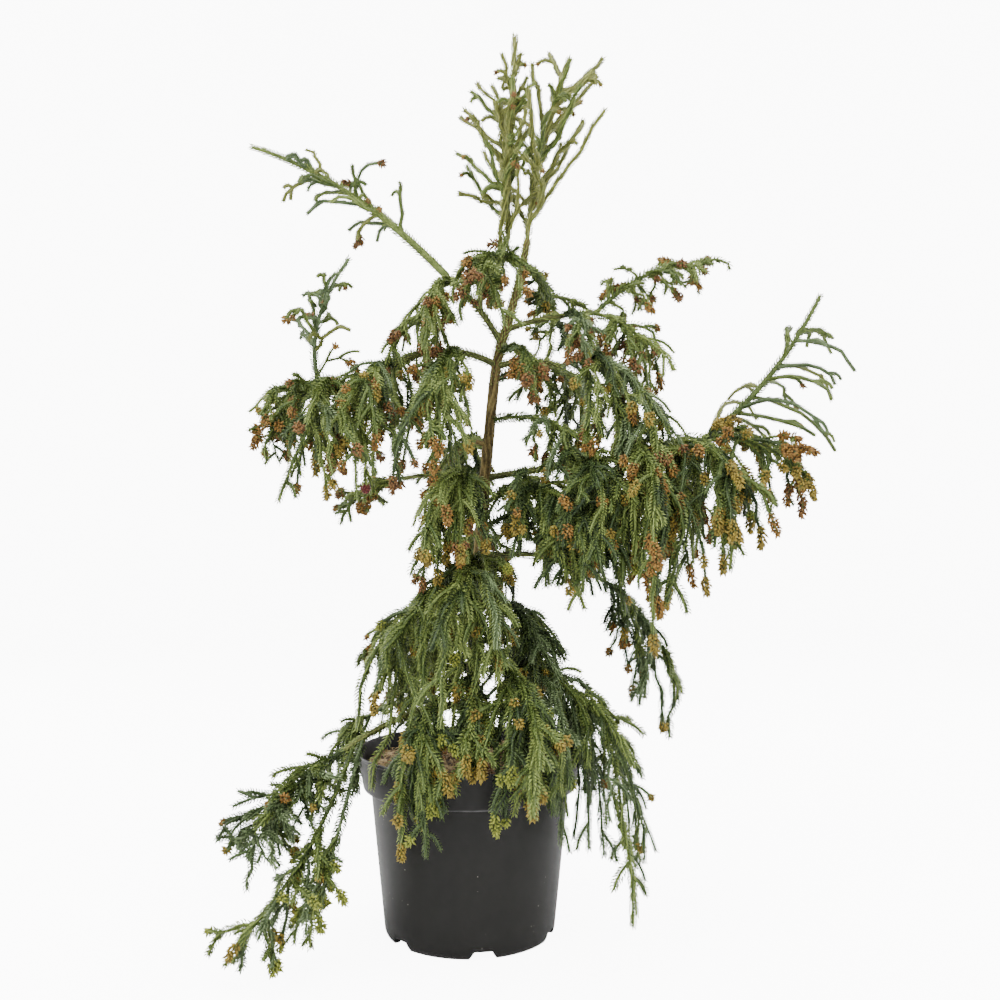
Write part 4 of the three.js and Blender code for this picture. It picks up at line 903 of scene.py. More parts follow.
class Workshop:
    """Turns surfaces into Blender objects of the frame."""

    @staticmethod
    def make(name: str, surface: Surface, material: Material,
             smooth: bool = True) -> bpy.types.Object:
        """Makes one object at the origin, in metres.

        Args:
            name: the object's name.
            surface: its mesh in millimetres.
            material: its material.
            smooth: whether its faces are shaded smooth.

        Returns:
            The linked object.
        """
        mesh = bpy.data.meshes.new(name)
        count = len(surface.triangles)
        mesh.vertices.add(len(surface.points))
        mesh.vertices.foreach_set("co", np.ascontiguousarray(surface.points * MM, np.float32).ravel())
        mesh.loops.add(count * 3)
        mesh.loops.foreach_set("vertex_index", surface.triangles.astype(np.int32).ravel())
        mesh.polygons.add(count)
        mesh.polygons.foreach_set("loop_start", np.arange(0, count * 3, 3, dtype=np.int32))
        mesh.update(calc_edges=True)
        mesh.polygons.foreach_set("use_smooth", np.full(count, smooth))
        layer = mesh.attributes.new("tint", "FLOAT", "POINT")
        layer.data.foreach_set("value", surface.tint.astype(np.float32))
        mesh.materials.append(material)
        made = bpy.data.objects.new(name, mesh)
        bpy.context.scene.collection.objects.link(made)
        return made

    @staticmethod
    def enter(made: bpy.types.Object, slot: Slot, nodes: Iterable[str]) -> None:
        """Enters an object in the frame: its body and the nodes it stands for."""
        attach(made, "root")
        wanted = sorted(set(nodes))
        if wanted:
            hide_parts(*wanted)
        LOG.info("%s: %d triangles", made.name, len(made.data.polygons))


def grid_triangles(rows: int, columns: int) -> Array:
    """Triangles between rings of vertices, of which there are rows, with columns in each."""
    row = np.arange(rows - 1)[:, None] * columns
    here = np.arange(columns)[None]
    after = (here + 1) % columns
    a, b = row + here, row + after
    c, d = a + columns, b + columns
    return np.concatenate((np.stack((a, b, d), -1).reshape(-1, 3),
                           np.stack((a, d, c), -1).reshape(-1, 3)))


def fan_triangles(start: int, count: int, tip: int, flipped: bool = False) -> Array:
    """Triangles from a ring of count vertices, the first of which is start, to one tip."""
    here, after = start + np.arange(count), start + (np.arange(count) + 1) % count
    first, second = (after, here) if flipped else (here, after)
    return np.stack((first, second, np.full(count, tip)), axis=1)


def capped_ring(sides: int) -> Array:
    """Triangles of a short tube: its two rings come first, then the middle of each end."""
    return np.concatenate((grid_triangles(2, sides), fan_triangles(0, sides, 2 * sides, True),
                           fan_triangles(sides, sides, 2 * sides + 1)))


def repeated(faces: Array, copies: int, corners: int) -> Array:
    """A small shape's triangles, numbered on for each of its copies."""
    step = np.arange(copies)[:, None, None] * corners
    return (faces[None] + step).reshape(-1, 3)


def full_turn(count: int) -> Array:
    """Angles of count places spread evenly round a circle."""
    return np.linspace(0.0, 2 * math.pi, count, endpoint=False)


def turned(radius: Array, height: Array, turn: Array) -> Array:
    """Places at a radius and a height, at a turn from the x axis."""
    return np.stack((radius * np.cos(turn), radius * np.sin(turn), height + 0 * turn), axis=-1)


def ring_axes(tangent: Array, across: Array) -> tuple[Array, Array]:
    """Two unit axes across each tangent, the first of which lies as near as it can to across."""
    first = unit(across - tangent * (across * tangent).sum(axis=1, keepdims=True))
    return first, np.cross(tangent, first)


def series(number: Array) -> tuple[Array, Array, Array]:
    """Numbers the things that each shoot carries.

    Args:
        number: how many each shoot carries.

    Returns:
        Of every thing, its shoot, its own number on the shoot, and its share of the way.
    """
    which = np.repeat(np.arange(len(number)), number)
    order = np.arange(len(which)) - np.repeat(np.cumsum(number) - number, number)
    return which, order, (order + 0.5) / number[which]


def tubes(shoots: Shoots, shares: Array, radius: Array, sides: int) -> Surface:
    """Tapering tubes along many shoots.

    Args:
        shoots: the shoots.
        shares: where along every shoot its rings stand, shape (rings,).
        radius: radius at every ring, shape (shoots, rings).
        sides: vertices in a ring.

    Returns:
        One surface; tint holds a little change from shoot to shoot.
    """
    count, rings = radius.shape
    which = np.repeat(np.arange(count), rings)
    share = np.tile(shares, count)
    place, tangent = spline(shoots.points, which, share)
    first, second = ring_axes(tangent, shoots.side_axis()[which])
    turn = full_turn(sides)[None, :, None]
    ring = first[:, None] * np.cos(turn) + second[:, None] * np.sin(turn)
    points = place[:, None] + ring * radius.reshape(-1, 1, 1)
    faces = repeated(grid_triangles(rings, sides), count, rings * sides)
    own = np.random.default_rng(TUBE_SEED).uniform(-TUBE_TINT[1], TUBE_TINT[1], count)
    return Surface(points.reshape(-1, 3), faces, np.repeat(TUBE_TINT[0] + own, rings * sides))


def icosahedron() -> tuple[Array, Array]:
    """Vertices and triangles of a twenty-faced ball of radius one."""
    long = (1 + math.sqrt(5)) / 2
    points = unit(np.array([
        (-1, long, 0), (1, long, 0), (-1, -long, 0), (1, -long, 0), (0, -1, long), (0, 1, long),
        (0, -1, -long), (0, 1, -long), (long, 0, -1), (long, 0, 1), (-long, 0, -1), (-long, 0, 1),
    ], float))
    faces = np.array([
        (0, 11, 5), (0, 5, 1), (0, 1, 7), (0, 7, 10), (0, 10, 11), (1, 5, 9), (5, 11, 4),
        (11, 10, 2), (10, 7, 6), (7, 1, 8), (3, 9, 4), (3, 4, 2), (3, 2, 6), (3, 6, 8), (3, 8, 9),
        (4, 9, 5), (2, 4, 11), (6, 2, 10), (8, 6, 7), (9, 8, 1),
    ])
    return points, faces


def frames(direction: Array, turn: Array) -> Array:
    """Axes whose third one follows a direction.

    Args:
        direction: unit vectors, shape (n, 3).
        turn: turn about the direction in radians, shape (n,).

    Returns:
        Unit x, y and z axes, shape (n, 3, 3), one axis a row.
    """
    upright = np.abs(direction[:, 2:3]) > UPRIGHT_PAST
    helper = np.where(upright, np.array((1.0, 0, 0)), np.array((0, 0, 1.0)))
    first = unit(np.cross(helper, direction))
    second = np.cross(direction, first)
    cos, sin = np.cos(turn)[:, None], np.sin(turn)[:, None]
    return np.stack((first * cos + second * sin, second * cos - first * sin, direction), axis=1)


# ===== Foliage =====

ANY_TURN = 6.28


class Needles:
    """Awl-shaped, keeled needles set in a spiral along the shoots.

    Lengths are shares of the needle or of the shoot, and tints are added to the finish number.
    """

    THIN_PHASE = math.radians(145.5)
    STOUT_PHASE = math.radians(137.5)
    STOUT_PAST, STOUT_CLOSER = 1.3, 1.25
    FEWEST, LEAST_CLAD, UNDER_CONES = 3, 0.2, 0.85
    KEEL, CURL, SINK = 0.46, 0.44, 0.85
    TURN_JITTER, LEAN_JITTER = 0.07, 0.10
    SIZES = (0.86, 1.12)
    TIP_SHORTER, FOOT_SHORTER, FOOT_SHARE = 0.22, 0.2, 1 / 6
    # Painted shade at a needle's foot, where the needle above hides it, rising through the keel to a
    # painted highlight at its point.
    TINT = np.array((-0.12, -0.12, 0.52, 0.92))
    SHOOT_TINT, NEEDLE_TINT = 0.10, 0.08
    YOUNG_TINT, YOUNG_FROM = 0.25, 0.6
    FACES = np.array(((0, 1, 2), (0, 2, 3), (1, 3, 2)))
    CORNERS = 4

    def __init__(self, seed: int) -> None:
        self.deck = np.random.default_rng(seed)

    def along(self, shoots: Shoots) -> tuple[Surface, Array]:
        """Sets the needles of a set of shoots.

        Formula: thin shoots carry them in five slowly winding ranks, stout ones in a closer
        spiral; a needle leaves the core at its spiral angle, leaning off the shoot by an angle
        that falls from root to tip; below its keel's crest it leans out more and above it less,
        so it curves in. It is broad at its foot, keeled, and ends in a point.

        Args:
            shoots: the shoots.

        Returns:
            The needles, and the tone of each needle.
        """
        length, width, pitch, lean_root, lean_tip = shoots.of_habit(
            "needle", "width", "pitch", "lean_root", "lean_tip")
        root, tip = shoots.core()
        stout = root > self.STOUT_PAST * shoots.of_habit("root")[0]
        under = self.UNDER_CONES * shoots.cone / shoots.lengths()
        clad = np.clip(1 - shoots.bare - under, self.LEAST_CLAD, 1.0)
        closer = np.where(stout, self.STOUT_CLOSER, 1.0)
        number = np.maximum(self.FEWEST, closer * shoots.lengths() * clad / pitch).astype(int)
        which, order, part = series(number)
        share = shoots.bare[which] + clad[which] * part
        place, tangent = spline(shoots.points, which, share)
        first, second = ring_axes(tangent, shoots.side_axis()[which])
        jitter = self.deck.normal(0.0, 1.0, (2, len(which))) * ((self.TURN_JITTER,), (self.LEAN_JITTER,))
        phase = np.where(stout, self.STOUT_PHASE, self.THIN_PHASE)[which]
        start = self.deck.uniform(0, ANY_TURN, shoots.count)[which]
        turn = (phase * order + start + jitter[0])[:, None]
        radial = first * np.cos(turn) + second * np.sin(turn)
        lean = lean_root[which] + (lean_tip - lean_root)[which] * share**3 + jitter[1]
        grown = 1 - self.FOOT_SHORTER + self.FOOT_SHORTER * np.minimum(part / self.FOOT_SHARE, 1)
        size = (shoots.size[which] * (1 - self.TIP_SHORTER * share**4) * grown
                * self.deck.uniform(*self.SIZES, len(which)))
        reach = (length[which] * size)[:, None]
        half = (width[which] * size)[:, None] / 2
        out, into = (lean + self.CURL)[:, None], (lean - self.CURL)[:, None]
        near = tangent * np.cos(out) + radial * np.sin(out)
        far = tangent * np.cos(into) + radial * np.sin(into)
        foot = place + radial * ((root[which] + (tip - root)[which] * share)[:, None] * self.SINK)
        crest = foot + near * reach * self.KEEL
        point = crest + far * reach * (1 - self.KEEL)
        side = np.cross(tangent, radial) * half
        points = np.stack((foot - side, foot + side, crest, point), axis=1)
        own = (self.deck.normal(0.0, self.SHOOT_TINT, shoots.count)[which]
               + self.deck.normal(0.0, self.NEEDLE_TINT, len(which)))
        young = self.YOUNG_TINT * np.maximum(share - self.YOUNG_FROM, 0.0)
        # Painted shade at the foot to painted highlight at the point, with each shoot's and needle's own
        # change and paler young growth.
        tint = self.TINT[None] + (own + young)[:, None]
        faces = repeated(self.FACES, len(which), self.CORNERS)
        return Surface(points.reshape(-1, 3), faces, tint.reshape(-1)), shoots.tone[which]


class Cones:
    """Clusters of small cones at the shoots' tips, and the few round seed cones."""

    PER_MM = 2.6
    FEWEST = 2
    SIZE = np.array((1.2, 1.2, 2.7))
    SIZES = (0.82, 1.22)
    SPIRAL = 2.4
    GOLDEN_TURN = 2.399963
    BELLY, STRAY = 3.0, (-1.0, 1.9)
    FULL_LENGTH, THINNEST = 9, 0.35
    LEAN, LEAN_JITTER = (1.25, -0.60), 0.36
    CLUSTER_TINT, SEED_CONE_TINT = 0.20, 0.08
    SIDES, WIDEST = 5, -0.15
    SPIKES, SPIKE_FOOT, SPIKE_HALF, SPIKE_TIP, SPIKE_UP, BALL = 34, 0.62, 0.24, 1.02, 0.10, 0.66

    def __init__(self, seed: int) -> None:
        self.deck = np.random.default_rng(seed)
        self.bud, self.bud_faces = self._bud()

    def _bud(self) -> tuple[Array, Array]:
        """A pointed five-sided bud of length two along z, widest below its middle."""
        ring = turned(np.ones(self.SIDES), self.WIDEST, full_turn(self.SIDES))
        points = np.concatenate((((0.0, 0.0, -1.0),), ring, ((0.0, 0.0, 1.0),)))
        faces = (fan_triangles(1, self.SIDES, 0, True), fan_triangles(1, self.SIDES, self.SIDES + 1))
        return points, np.concatenate(faces)

    def clusters(self, shoots: Shoots) -> tuple[Surface, Array]:
        """Sets a cluster of cones on every shoot that bears one.

        Formula: the cones stand in a spiral over the last part of the shoot, closest at its
        tip, each leaning forward and out; a cluster is widest in its middle.

        Args:
            shoots: the shoots.

        Returns:
            The cones, and the colour of each cone.
        """
        bearing = shoots.pick(shoots.cone > 0)
        which, order, part = series(np.maximum(self.FEWEST, bearing.cone * self.PER_MM).astype(int))
        count = len(which)
        back = bearing.cone[which] * (1 - part) / bearing.lengths()[which]
        place, tangent = spline(bearing.points, which, np.clip(1.0 - back, 0.0, 1.0))
        first, second = ring_axes(tangent, bearing.side_axis()[which])
        turn = (self.SPIRAL * order + self.deck.uniform(0, ANY_TURN, bearing.count)[which])[:, None]
        radial = first * np.cos(turn) + second * np.sin(turn)
        belly = np.sin(math.pi * (0.18 + 0.74 * part))[:, None]
        fat = np.clip(bearing.cone[which] / self.FULL_LENGTH, self.THINNEST, 1)[:, None]
        out = (self.BELLY * belly + self.deck.uniform(*self.STRAY, (count, 1))) * fat
        lean = self.LEAN[0] + self.LEAN[1] * part + self.deck.normal(0.0, self.LEAN_JITTER, count)
        lean = lean[:, None]
        direction = unit(tangent * np.cos(lean) + radial * np.sin(lean))
        size = self.deck.uniform(*self.SIZES, count)[:, None, None]
        axes = frames(direction, self.deck.uniform(0, ANY_TURN, count)) * size * self.SIZE[None, :, None]
        tint = np.clip(0.45 + 0.75 * self.bud[:, 2], 0, 1)
        surface = Surface.stamped(self.bud, self.bud_faces, tint, place + radial * out, axes,
                                  self.deck.normal(0.0, self.CLUSTER_TINT, count))
        return surface, bearing.cone_tone[which]

    def seed_cones(self, places: Array, radius: Array) -> Surface:
        """Round seed cones with pointed scales standing out all over.

        Formula: scales stand at the directions of an even spiral over a ball; each is a
        four-sided spike whose point curves up.

        Args:
            places: centres, shape (n, 3).
            radius: radii in millimetres, shape (n,).

        Returns:
            The cones.
        """
        k = np.arange(self.SPIKES)
        height = 1 - 2 * (k + 0.5) / self.SPIKES
        normal = turned(np.sqrt(1 - height**2), height, k * self.GOLDEN_TURN)
        across, up, _ = (frames(normal, np.zeros(self.SPIKES)) * self.SPIKE_HALF).transpose(1, 0, 2)
        foot = normal * self.SPIKE_FOOT
        tip = normal * self.SPIKE_TIP + up / self.SPIKE_HALF * self.SPIKE_UP
        corners = np.stack((foot + across, foot + up, foot - across, foot - up, tip), axis=1)
        ball, ball_faces = icosahedron()
        template = np.concatenate((corners.reshape(-1, 3), ball * self.BALL))
        faces = np.concatenate((repeated(fan_triangles(0, 4, 4), self.SPIKES, 5),
                                ball_faces + corners.size // 3))
        tint = np.append(np.tile((0.35, 0.35, 0.35, 0.35, 1.0), self.SPIKES), np.full(len(ball), 0.05))
        own = frames(unit(self.deck.normal(0, 1, (len(places), 3))), np.zeros(len(places)))
        return Surface.stamped(template, faces, tint, places, own * radius[:, None, None],
                               self.deck.normal(0.0, self.SEED_CONE_TINT, len(places)))


@dataclass
class Foliage:
    """Dresses the grown shoots: cores, needles and cones, each joined by kind and colour."""

    crown: Crown
    most_triangles: int = 176_000
    needle_seed: int = 7
    cone_seed: int = 19
    seed_cone_radius: Pair = (5.2, 6.6)
    stem_sides: int = 8
    twig_sides: int = 4
    blunt: float = 0.985
    tip_radius: float = 0.1

    def dress(self, finishes: Finishes) -> None:
        """Makes every foliage piece."""
        groups = (self.crown.stems, self.crown.twigs, self.crown.sides)
        needles = Needles(self.needle_seed)
        built = [needles.along(group) for group in groups]
        for index, tone in enumerate(TONES):
            cored = [own for own in (group.pick(group.tone == index) for group in groups) if own.count]
            nodes = {MASSES[mass].name for own in cored for mass in np.unique(own.mass)}
            name, material = tone.name.lower(), finishes.needles[tone]
            needled = self._of_tone(built, index, needles.CORNERS, len(needles.FACES))
            self._enter(f"needles_{name}", needled, material, tone.slot, nodes)
            self._enter(f"twigs_{name}", [self._cores(own) for own in cored], material, tone.slot, nodes)
        self._dress_cones(finishes, groups)

    @staticmethod
    def _of_tone(built: Sequence[tuple[Surface, Array]], index: int, corners: int,
                 faces: int) -> list[Surface]:
        """Picks the small shapes of one tone out of stamped surfaces.

        Args:
            built: surfaces, each with the tone of its every small shape.
            index: the tone.
            corners: vertices of a small shape.
            faces: its triangles.

        Returns:
            What each surface has of them.
        """
        parts = []
        for surface, tones in built:
            chosen = np.flatnonzero(tones == index)
            if len(chosen):
                points = surface.points.reshape(-1, corners, 3)[chosen].reshape(-1, 3)
                tint = surface.tint.reshape(-1, corners)[chosen].reshape(-1)
                triangles = repeated(surface.triangles[:faces], len(chosen), corners)
                parts.append(Surface(points, triangles, tint))
        return parts

    def _cores(self, shoots: Shoots) -> Surface:
        """The shoots' own green wood, blunt at the tip."""
        rings = shoots.points.shape[1]
        root, tip = (radius[:, None] for radius in shoots.core())
        share = np.append(np.linspace(0.0, self.blunt, rings), 1.0)
        radius = root + (tip - root) * share[None]
        radius[:, -1] = self.tip_radius
        stems = rings == Crown.STEM_CORNERS
        return tubes(shoots, share, radius, self.stem_sides if stems else self.twig_sides)

    def _enter(self, name: str, parts: Sequence[Surface], material: Material, slot: Slot,
               nodes: Iterable[str]) -> None:
        """Joins surfaces, splits them below the limit, and enters the pieces."""
        whole = Surface.joined(parts)
        pieces = max(1, math.ceil(len(whole.triangles) / self.most_triangles))
        share = math.ceil(len(whole.triangles) / pieces)
        for index in range(pieces):
            faces = whole.triangles[index * share:(index + 1) * share]
            used, fresh = np.unique(faces, return_inverse=True)
            part = Surface(whole.points[used], fresh.reshape(-1, 3), whole.tint[used])
            label = name if pieces == 1 else f"{name}_{index + 1}"
            Workshop.enter(Workshop.make(label, part, material), slot, nodes)

    def _dress_cones(self, finishes: Finishes, groups: Sequence[Shoots]) -> None:
        """Makes the cone clusters of every colour, and the round seed cones."""
        maker = Cones(self.cone_seed)
        built = [maker.clusters(group) for group in groups[1:]]
        for index, tone in enumerate(CONE_TONES):
            parts = self._of_tone(built, index, len(maker.bud), len(maker.bud_faces))
            if parts:
                self._enter(f"cones_{tone.name.lower()}", parts, finishes.cones[tone], Slot.LEAF, ())
        for tone, wanted in SEED_CONES.items():
            places = self._beside_twigs(np.array(wanted, float))
            deck = np.random.default_rng(len(wanted))
            surface = maker.seed_cones(places, deck.uniform(*self.seed_cone_radius, len(places)))
            made = Workshop.make(f"seed_cones_{tone.name.lower()}", surface, finishes.cones[tone], False)
            Workshop.enter(made, Slot.LEAF, ())

    def _beside_twigs(self, wanted: Array) -> Array:
        """The twig corner that lies nearest to each wanted place."""
        corners = self.crown.twigs.points[:, 2:].reshape(-1, 3)
        far = np.linalg.norm(corners[None] - wanted[:, None], axis=2)
        return corners[far.argmin(axis=1)]


SEED_CONES: dict[ConeTone, tuple[Vector3, ...]] = {
    ConeTone.LIME: (
        (274, -60, 422), (160, -80, 357), (183, -80, 340), (54, -90, 361), (64, -95, 240),
        (-140, -70, 470), (123, -50, 568), (120, -60, 452),
    ),
    ConeTone.CRIMSON: ((-90, -50, 415), (98, -60, 370)),
}


# ===== Trunk and boughs =====


@dataclass(frozen=True)
class BarkRelief:
    """Depths and lengths in millimetres, and counts, of the stringy bark's ridges."""

    ridge: float = 0.42
    fibre: float = 0.16
    knuckle: float = 0.3
    ridges: int = 7
    fibres: int = 17
    ring_every: float = 2.4
    drift: Pair = (0.9, 0.35)
    drift_length: Pair = (31.0, 9.7)
    drift_start: float = 1.3
    fibre_drift: float = -0.4
    fibre_wave: Pair = (0.7, 4.1)
    knuckle_length: Pair = (14.3, 40.0)
    knuckle_swing: float = 2.0
    knuckle_sharpness: int = 6

    def depth(self, turn: Array, along: Array, scale: float) -> Array:
        """How far the bark stands out.

        Formula: ridges are folded sines of the turn, drifting slowly with height; fibres are
        finer folded sines; knuckles are soft bulges where old twigs fell.

        Args:
            turn: angle round the limb.
            along: millimetres along the limb.
            scale: share of the trunk's relief.

        Returns:
            Millimetres, of the shape of the two arguments together.
        """
        slow, fast = (along / length for length in self.drift_length)
        drift = self.drift[0] * np.sin(slow) + self.drift[1] * np.sin(fast + self.drift_start)
        folds = 1 - np.abs(np.sin(self.ridges / 2 * (turn + drift)))
        wave = self.fibre_wave[0] * np.sin(along / self.fibre_wave[1])
        fine = 1 - np.abs(np.sin(self.fibres / 2 * (turn + self.fibre_drift * drift) + wave))
        near, far = (along / length for length in self.knuckle_length)
        bulge = np.maximum(0, np.sin(near + self.knuckle_swing * np.sin(turn + far)))
        bulge = bulge**self.knuckle_sharpness
        return scale * (self.ridge * folds**2 + self.fibre * fine + self.knuckle * bulge)


@dataclass
class Woodwork:
    """The trunk and the ten boughs, with bark."""

    crown: Crown
    relief: BarkRelief = field(default_factory=BarkRelief)
    trunk_sides: int = 36
    bough_sides: int = 18
    bough_relief: float = 0.5
    thicker: float = 0.2
    collar: float = 1.3
    collar_length: float = 5.0
    fewest_rings: int = 8
    narrowest_end: float = 0.02
    seam: Vector3 = (0.1, 1.0, 0.2)
    stub_length: float = 6.0
    stub_rise: float = 0.25
    stub_shares: Numbers = (0, 0.2, 0.4, 0.6, 0.8, 0.97, 1.0)
    stub_radii: Numbers = (3.2, 2.9, 2.6, 2.4, 2.3, 2.2, 0.05)
    stub_sides: int = 12
    stub_tint: float = 0.3

    def dress(self, finishes: Finishes) -> None:
        """Makes the trunk and the boughs."""
        trunk = Surface.joined([self._limb("trunk", self.trunk_sides, 1.0), *self._stubs()])
        Workshop.enter(Workshop.make("bark_trunk", trunk, finishes.bark), Slot.BARK, ["trunk"])
        for bough in BOUGHS:
            limb = self._limb(bough.name, self.bough_sides, self.bough_relief)
            made = Workshop.make(f"bark_{bough.name}", limb, finishes.green_bark)
            Workshop.enter(made, Slot.BARK, [bough.name])

    def _limb(self, name: str, sides: int, scale: float) -> Surface:
        """One limb: rings across its curve, each pushed out by the bark.

        Formula: a ring's radius is the limb's own plus a collar at its foot plus the bark's
        relief; the trunk's foot also swells in three root lobes.

        Args:
            name: the limb.
            sides: vertices in a ring.
            scale: share of the trunk's relief.

        Returns:
            The closed surface.
        """
        limb = self.crown.limbs[name]
        length = float(np.linalg.norm(np.diff(limb.points, axis=0), axis=1).sum())
        rings = max(self.fewest_rings, round(length / self.relief.ring_every))
        share = np.linspace(0.0, 1.0, rings)
        place, tangent = read(limb.points, share)
        across = np.cross(tangent[:1], self.seam if name == "trunk" else DOWN)
        first, second = ring_axes(tangent, across)
        turn = full_turn(sides)[None]
        along = (share * length)[:, None]
        bark = self.relief.depth(turn, along, scale)
        radius = limb.radius_at(share)[:, None] + bark + self.thicker * scale
        if name == "trunk":
            above = np.maximum(place[:, 2:3] - SOIL.top, 0.0)
            lobes = ROOT_FLARE["depth"] * np.cos(ROOT_FLARE["lobes"] * turn)
            radius = radius * (1 + lobes * np.exp(-above / ROOT_FLARE["fade"]))
        else:
            radius = radius + self.collar * np.exp(-along / self.collar_length)
        to_end = (1 - share) * length / np.maximum(radius[:, 0], 1)
        ends = np.sqrt(np.clip(to_end, self.narrowest_end, 1))[:, None]
        ring = first[:, None] * np.cos(turn)[..., None] + second[:, None] * np.sin(turn)[..., None]
        points = place[:, None] + ring * (radius * ends)[..., None]
        deepest = self.relief.ridge + self.relief.fibre
        tint = self.relief.depth(turn, along, 1.0) / deepest
        return Surface(points.reshape(-1, 3), grid_triangles(rings, sides), tint.reshape(-1))

    def _stubs(self) -> list[Surface]:
        """Short cut stubs of old side twigs on the trunk."""
        stubs = []
        share = np.linspace(0.0, 1.0, len(self.stub_radii))[:, None]
        for height, bearing, reach in TRUNK_STUBS:
            start = self.crown.share_on("trunk", height)
            place = read(self.crown.limbs["trunk"].points, [start])[0][0]
            out = unit(turned(1.0, self.stub_rise, math.radians(bearing)))
            shoot = Shoots((place + out * (self.stub_length + reach) * share)[None])
            stub = tubes(shoot, np.array(self.stub_shares), np.array([self.stub_radii]), self.stub_sides)
            stubs.append(Surface(stub.points, stub.triangles, stub.tint + self.stub_tint))
        return stubs


# ===== Pot =====


def filleted(corners: Sequence[Vector3], steps: int = 5,
             most: float = 0.45) -> Array:
    """A profile with rounded corners.

    Args:
        corners: (radius, height, rounding) of every corner.
        steps: points on each rounding.
        most: share of a side that a rounding may take.

    Returns:
        Array of (radius, height).
    """
    flat = np.array(corners)[:, :2]
    rows = [flat[0]]
    t = np.linspace(0.0, 1.0, steps)[:, None]
    for before, here, after, corner in zip(flat, flat[1:], flat[2:], corners[1:]):
        into, onward = before - here, after - here
        long, far = np.linalg.norm(into), np.linalg.norm(onward)
        near = min(corner[2], long * most, far * most)
        start, end = here + into / long * near, here + onward / far * near
        rows.extend(start * (1 - t) ** 2 + 2 * here * t * (1 - t) + end * t**2)
    rows.append(flat[-1])
    return np.array(rows)


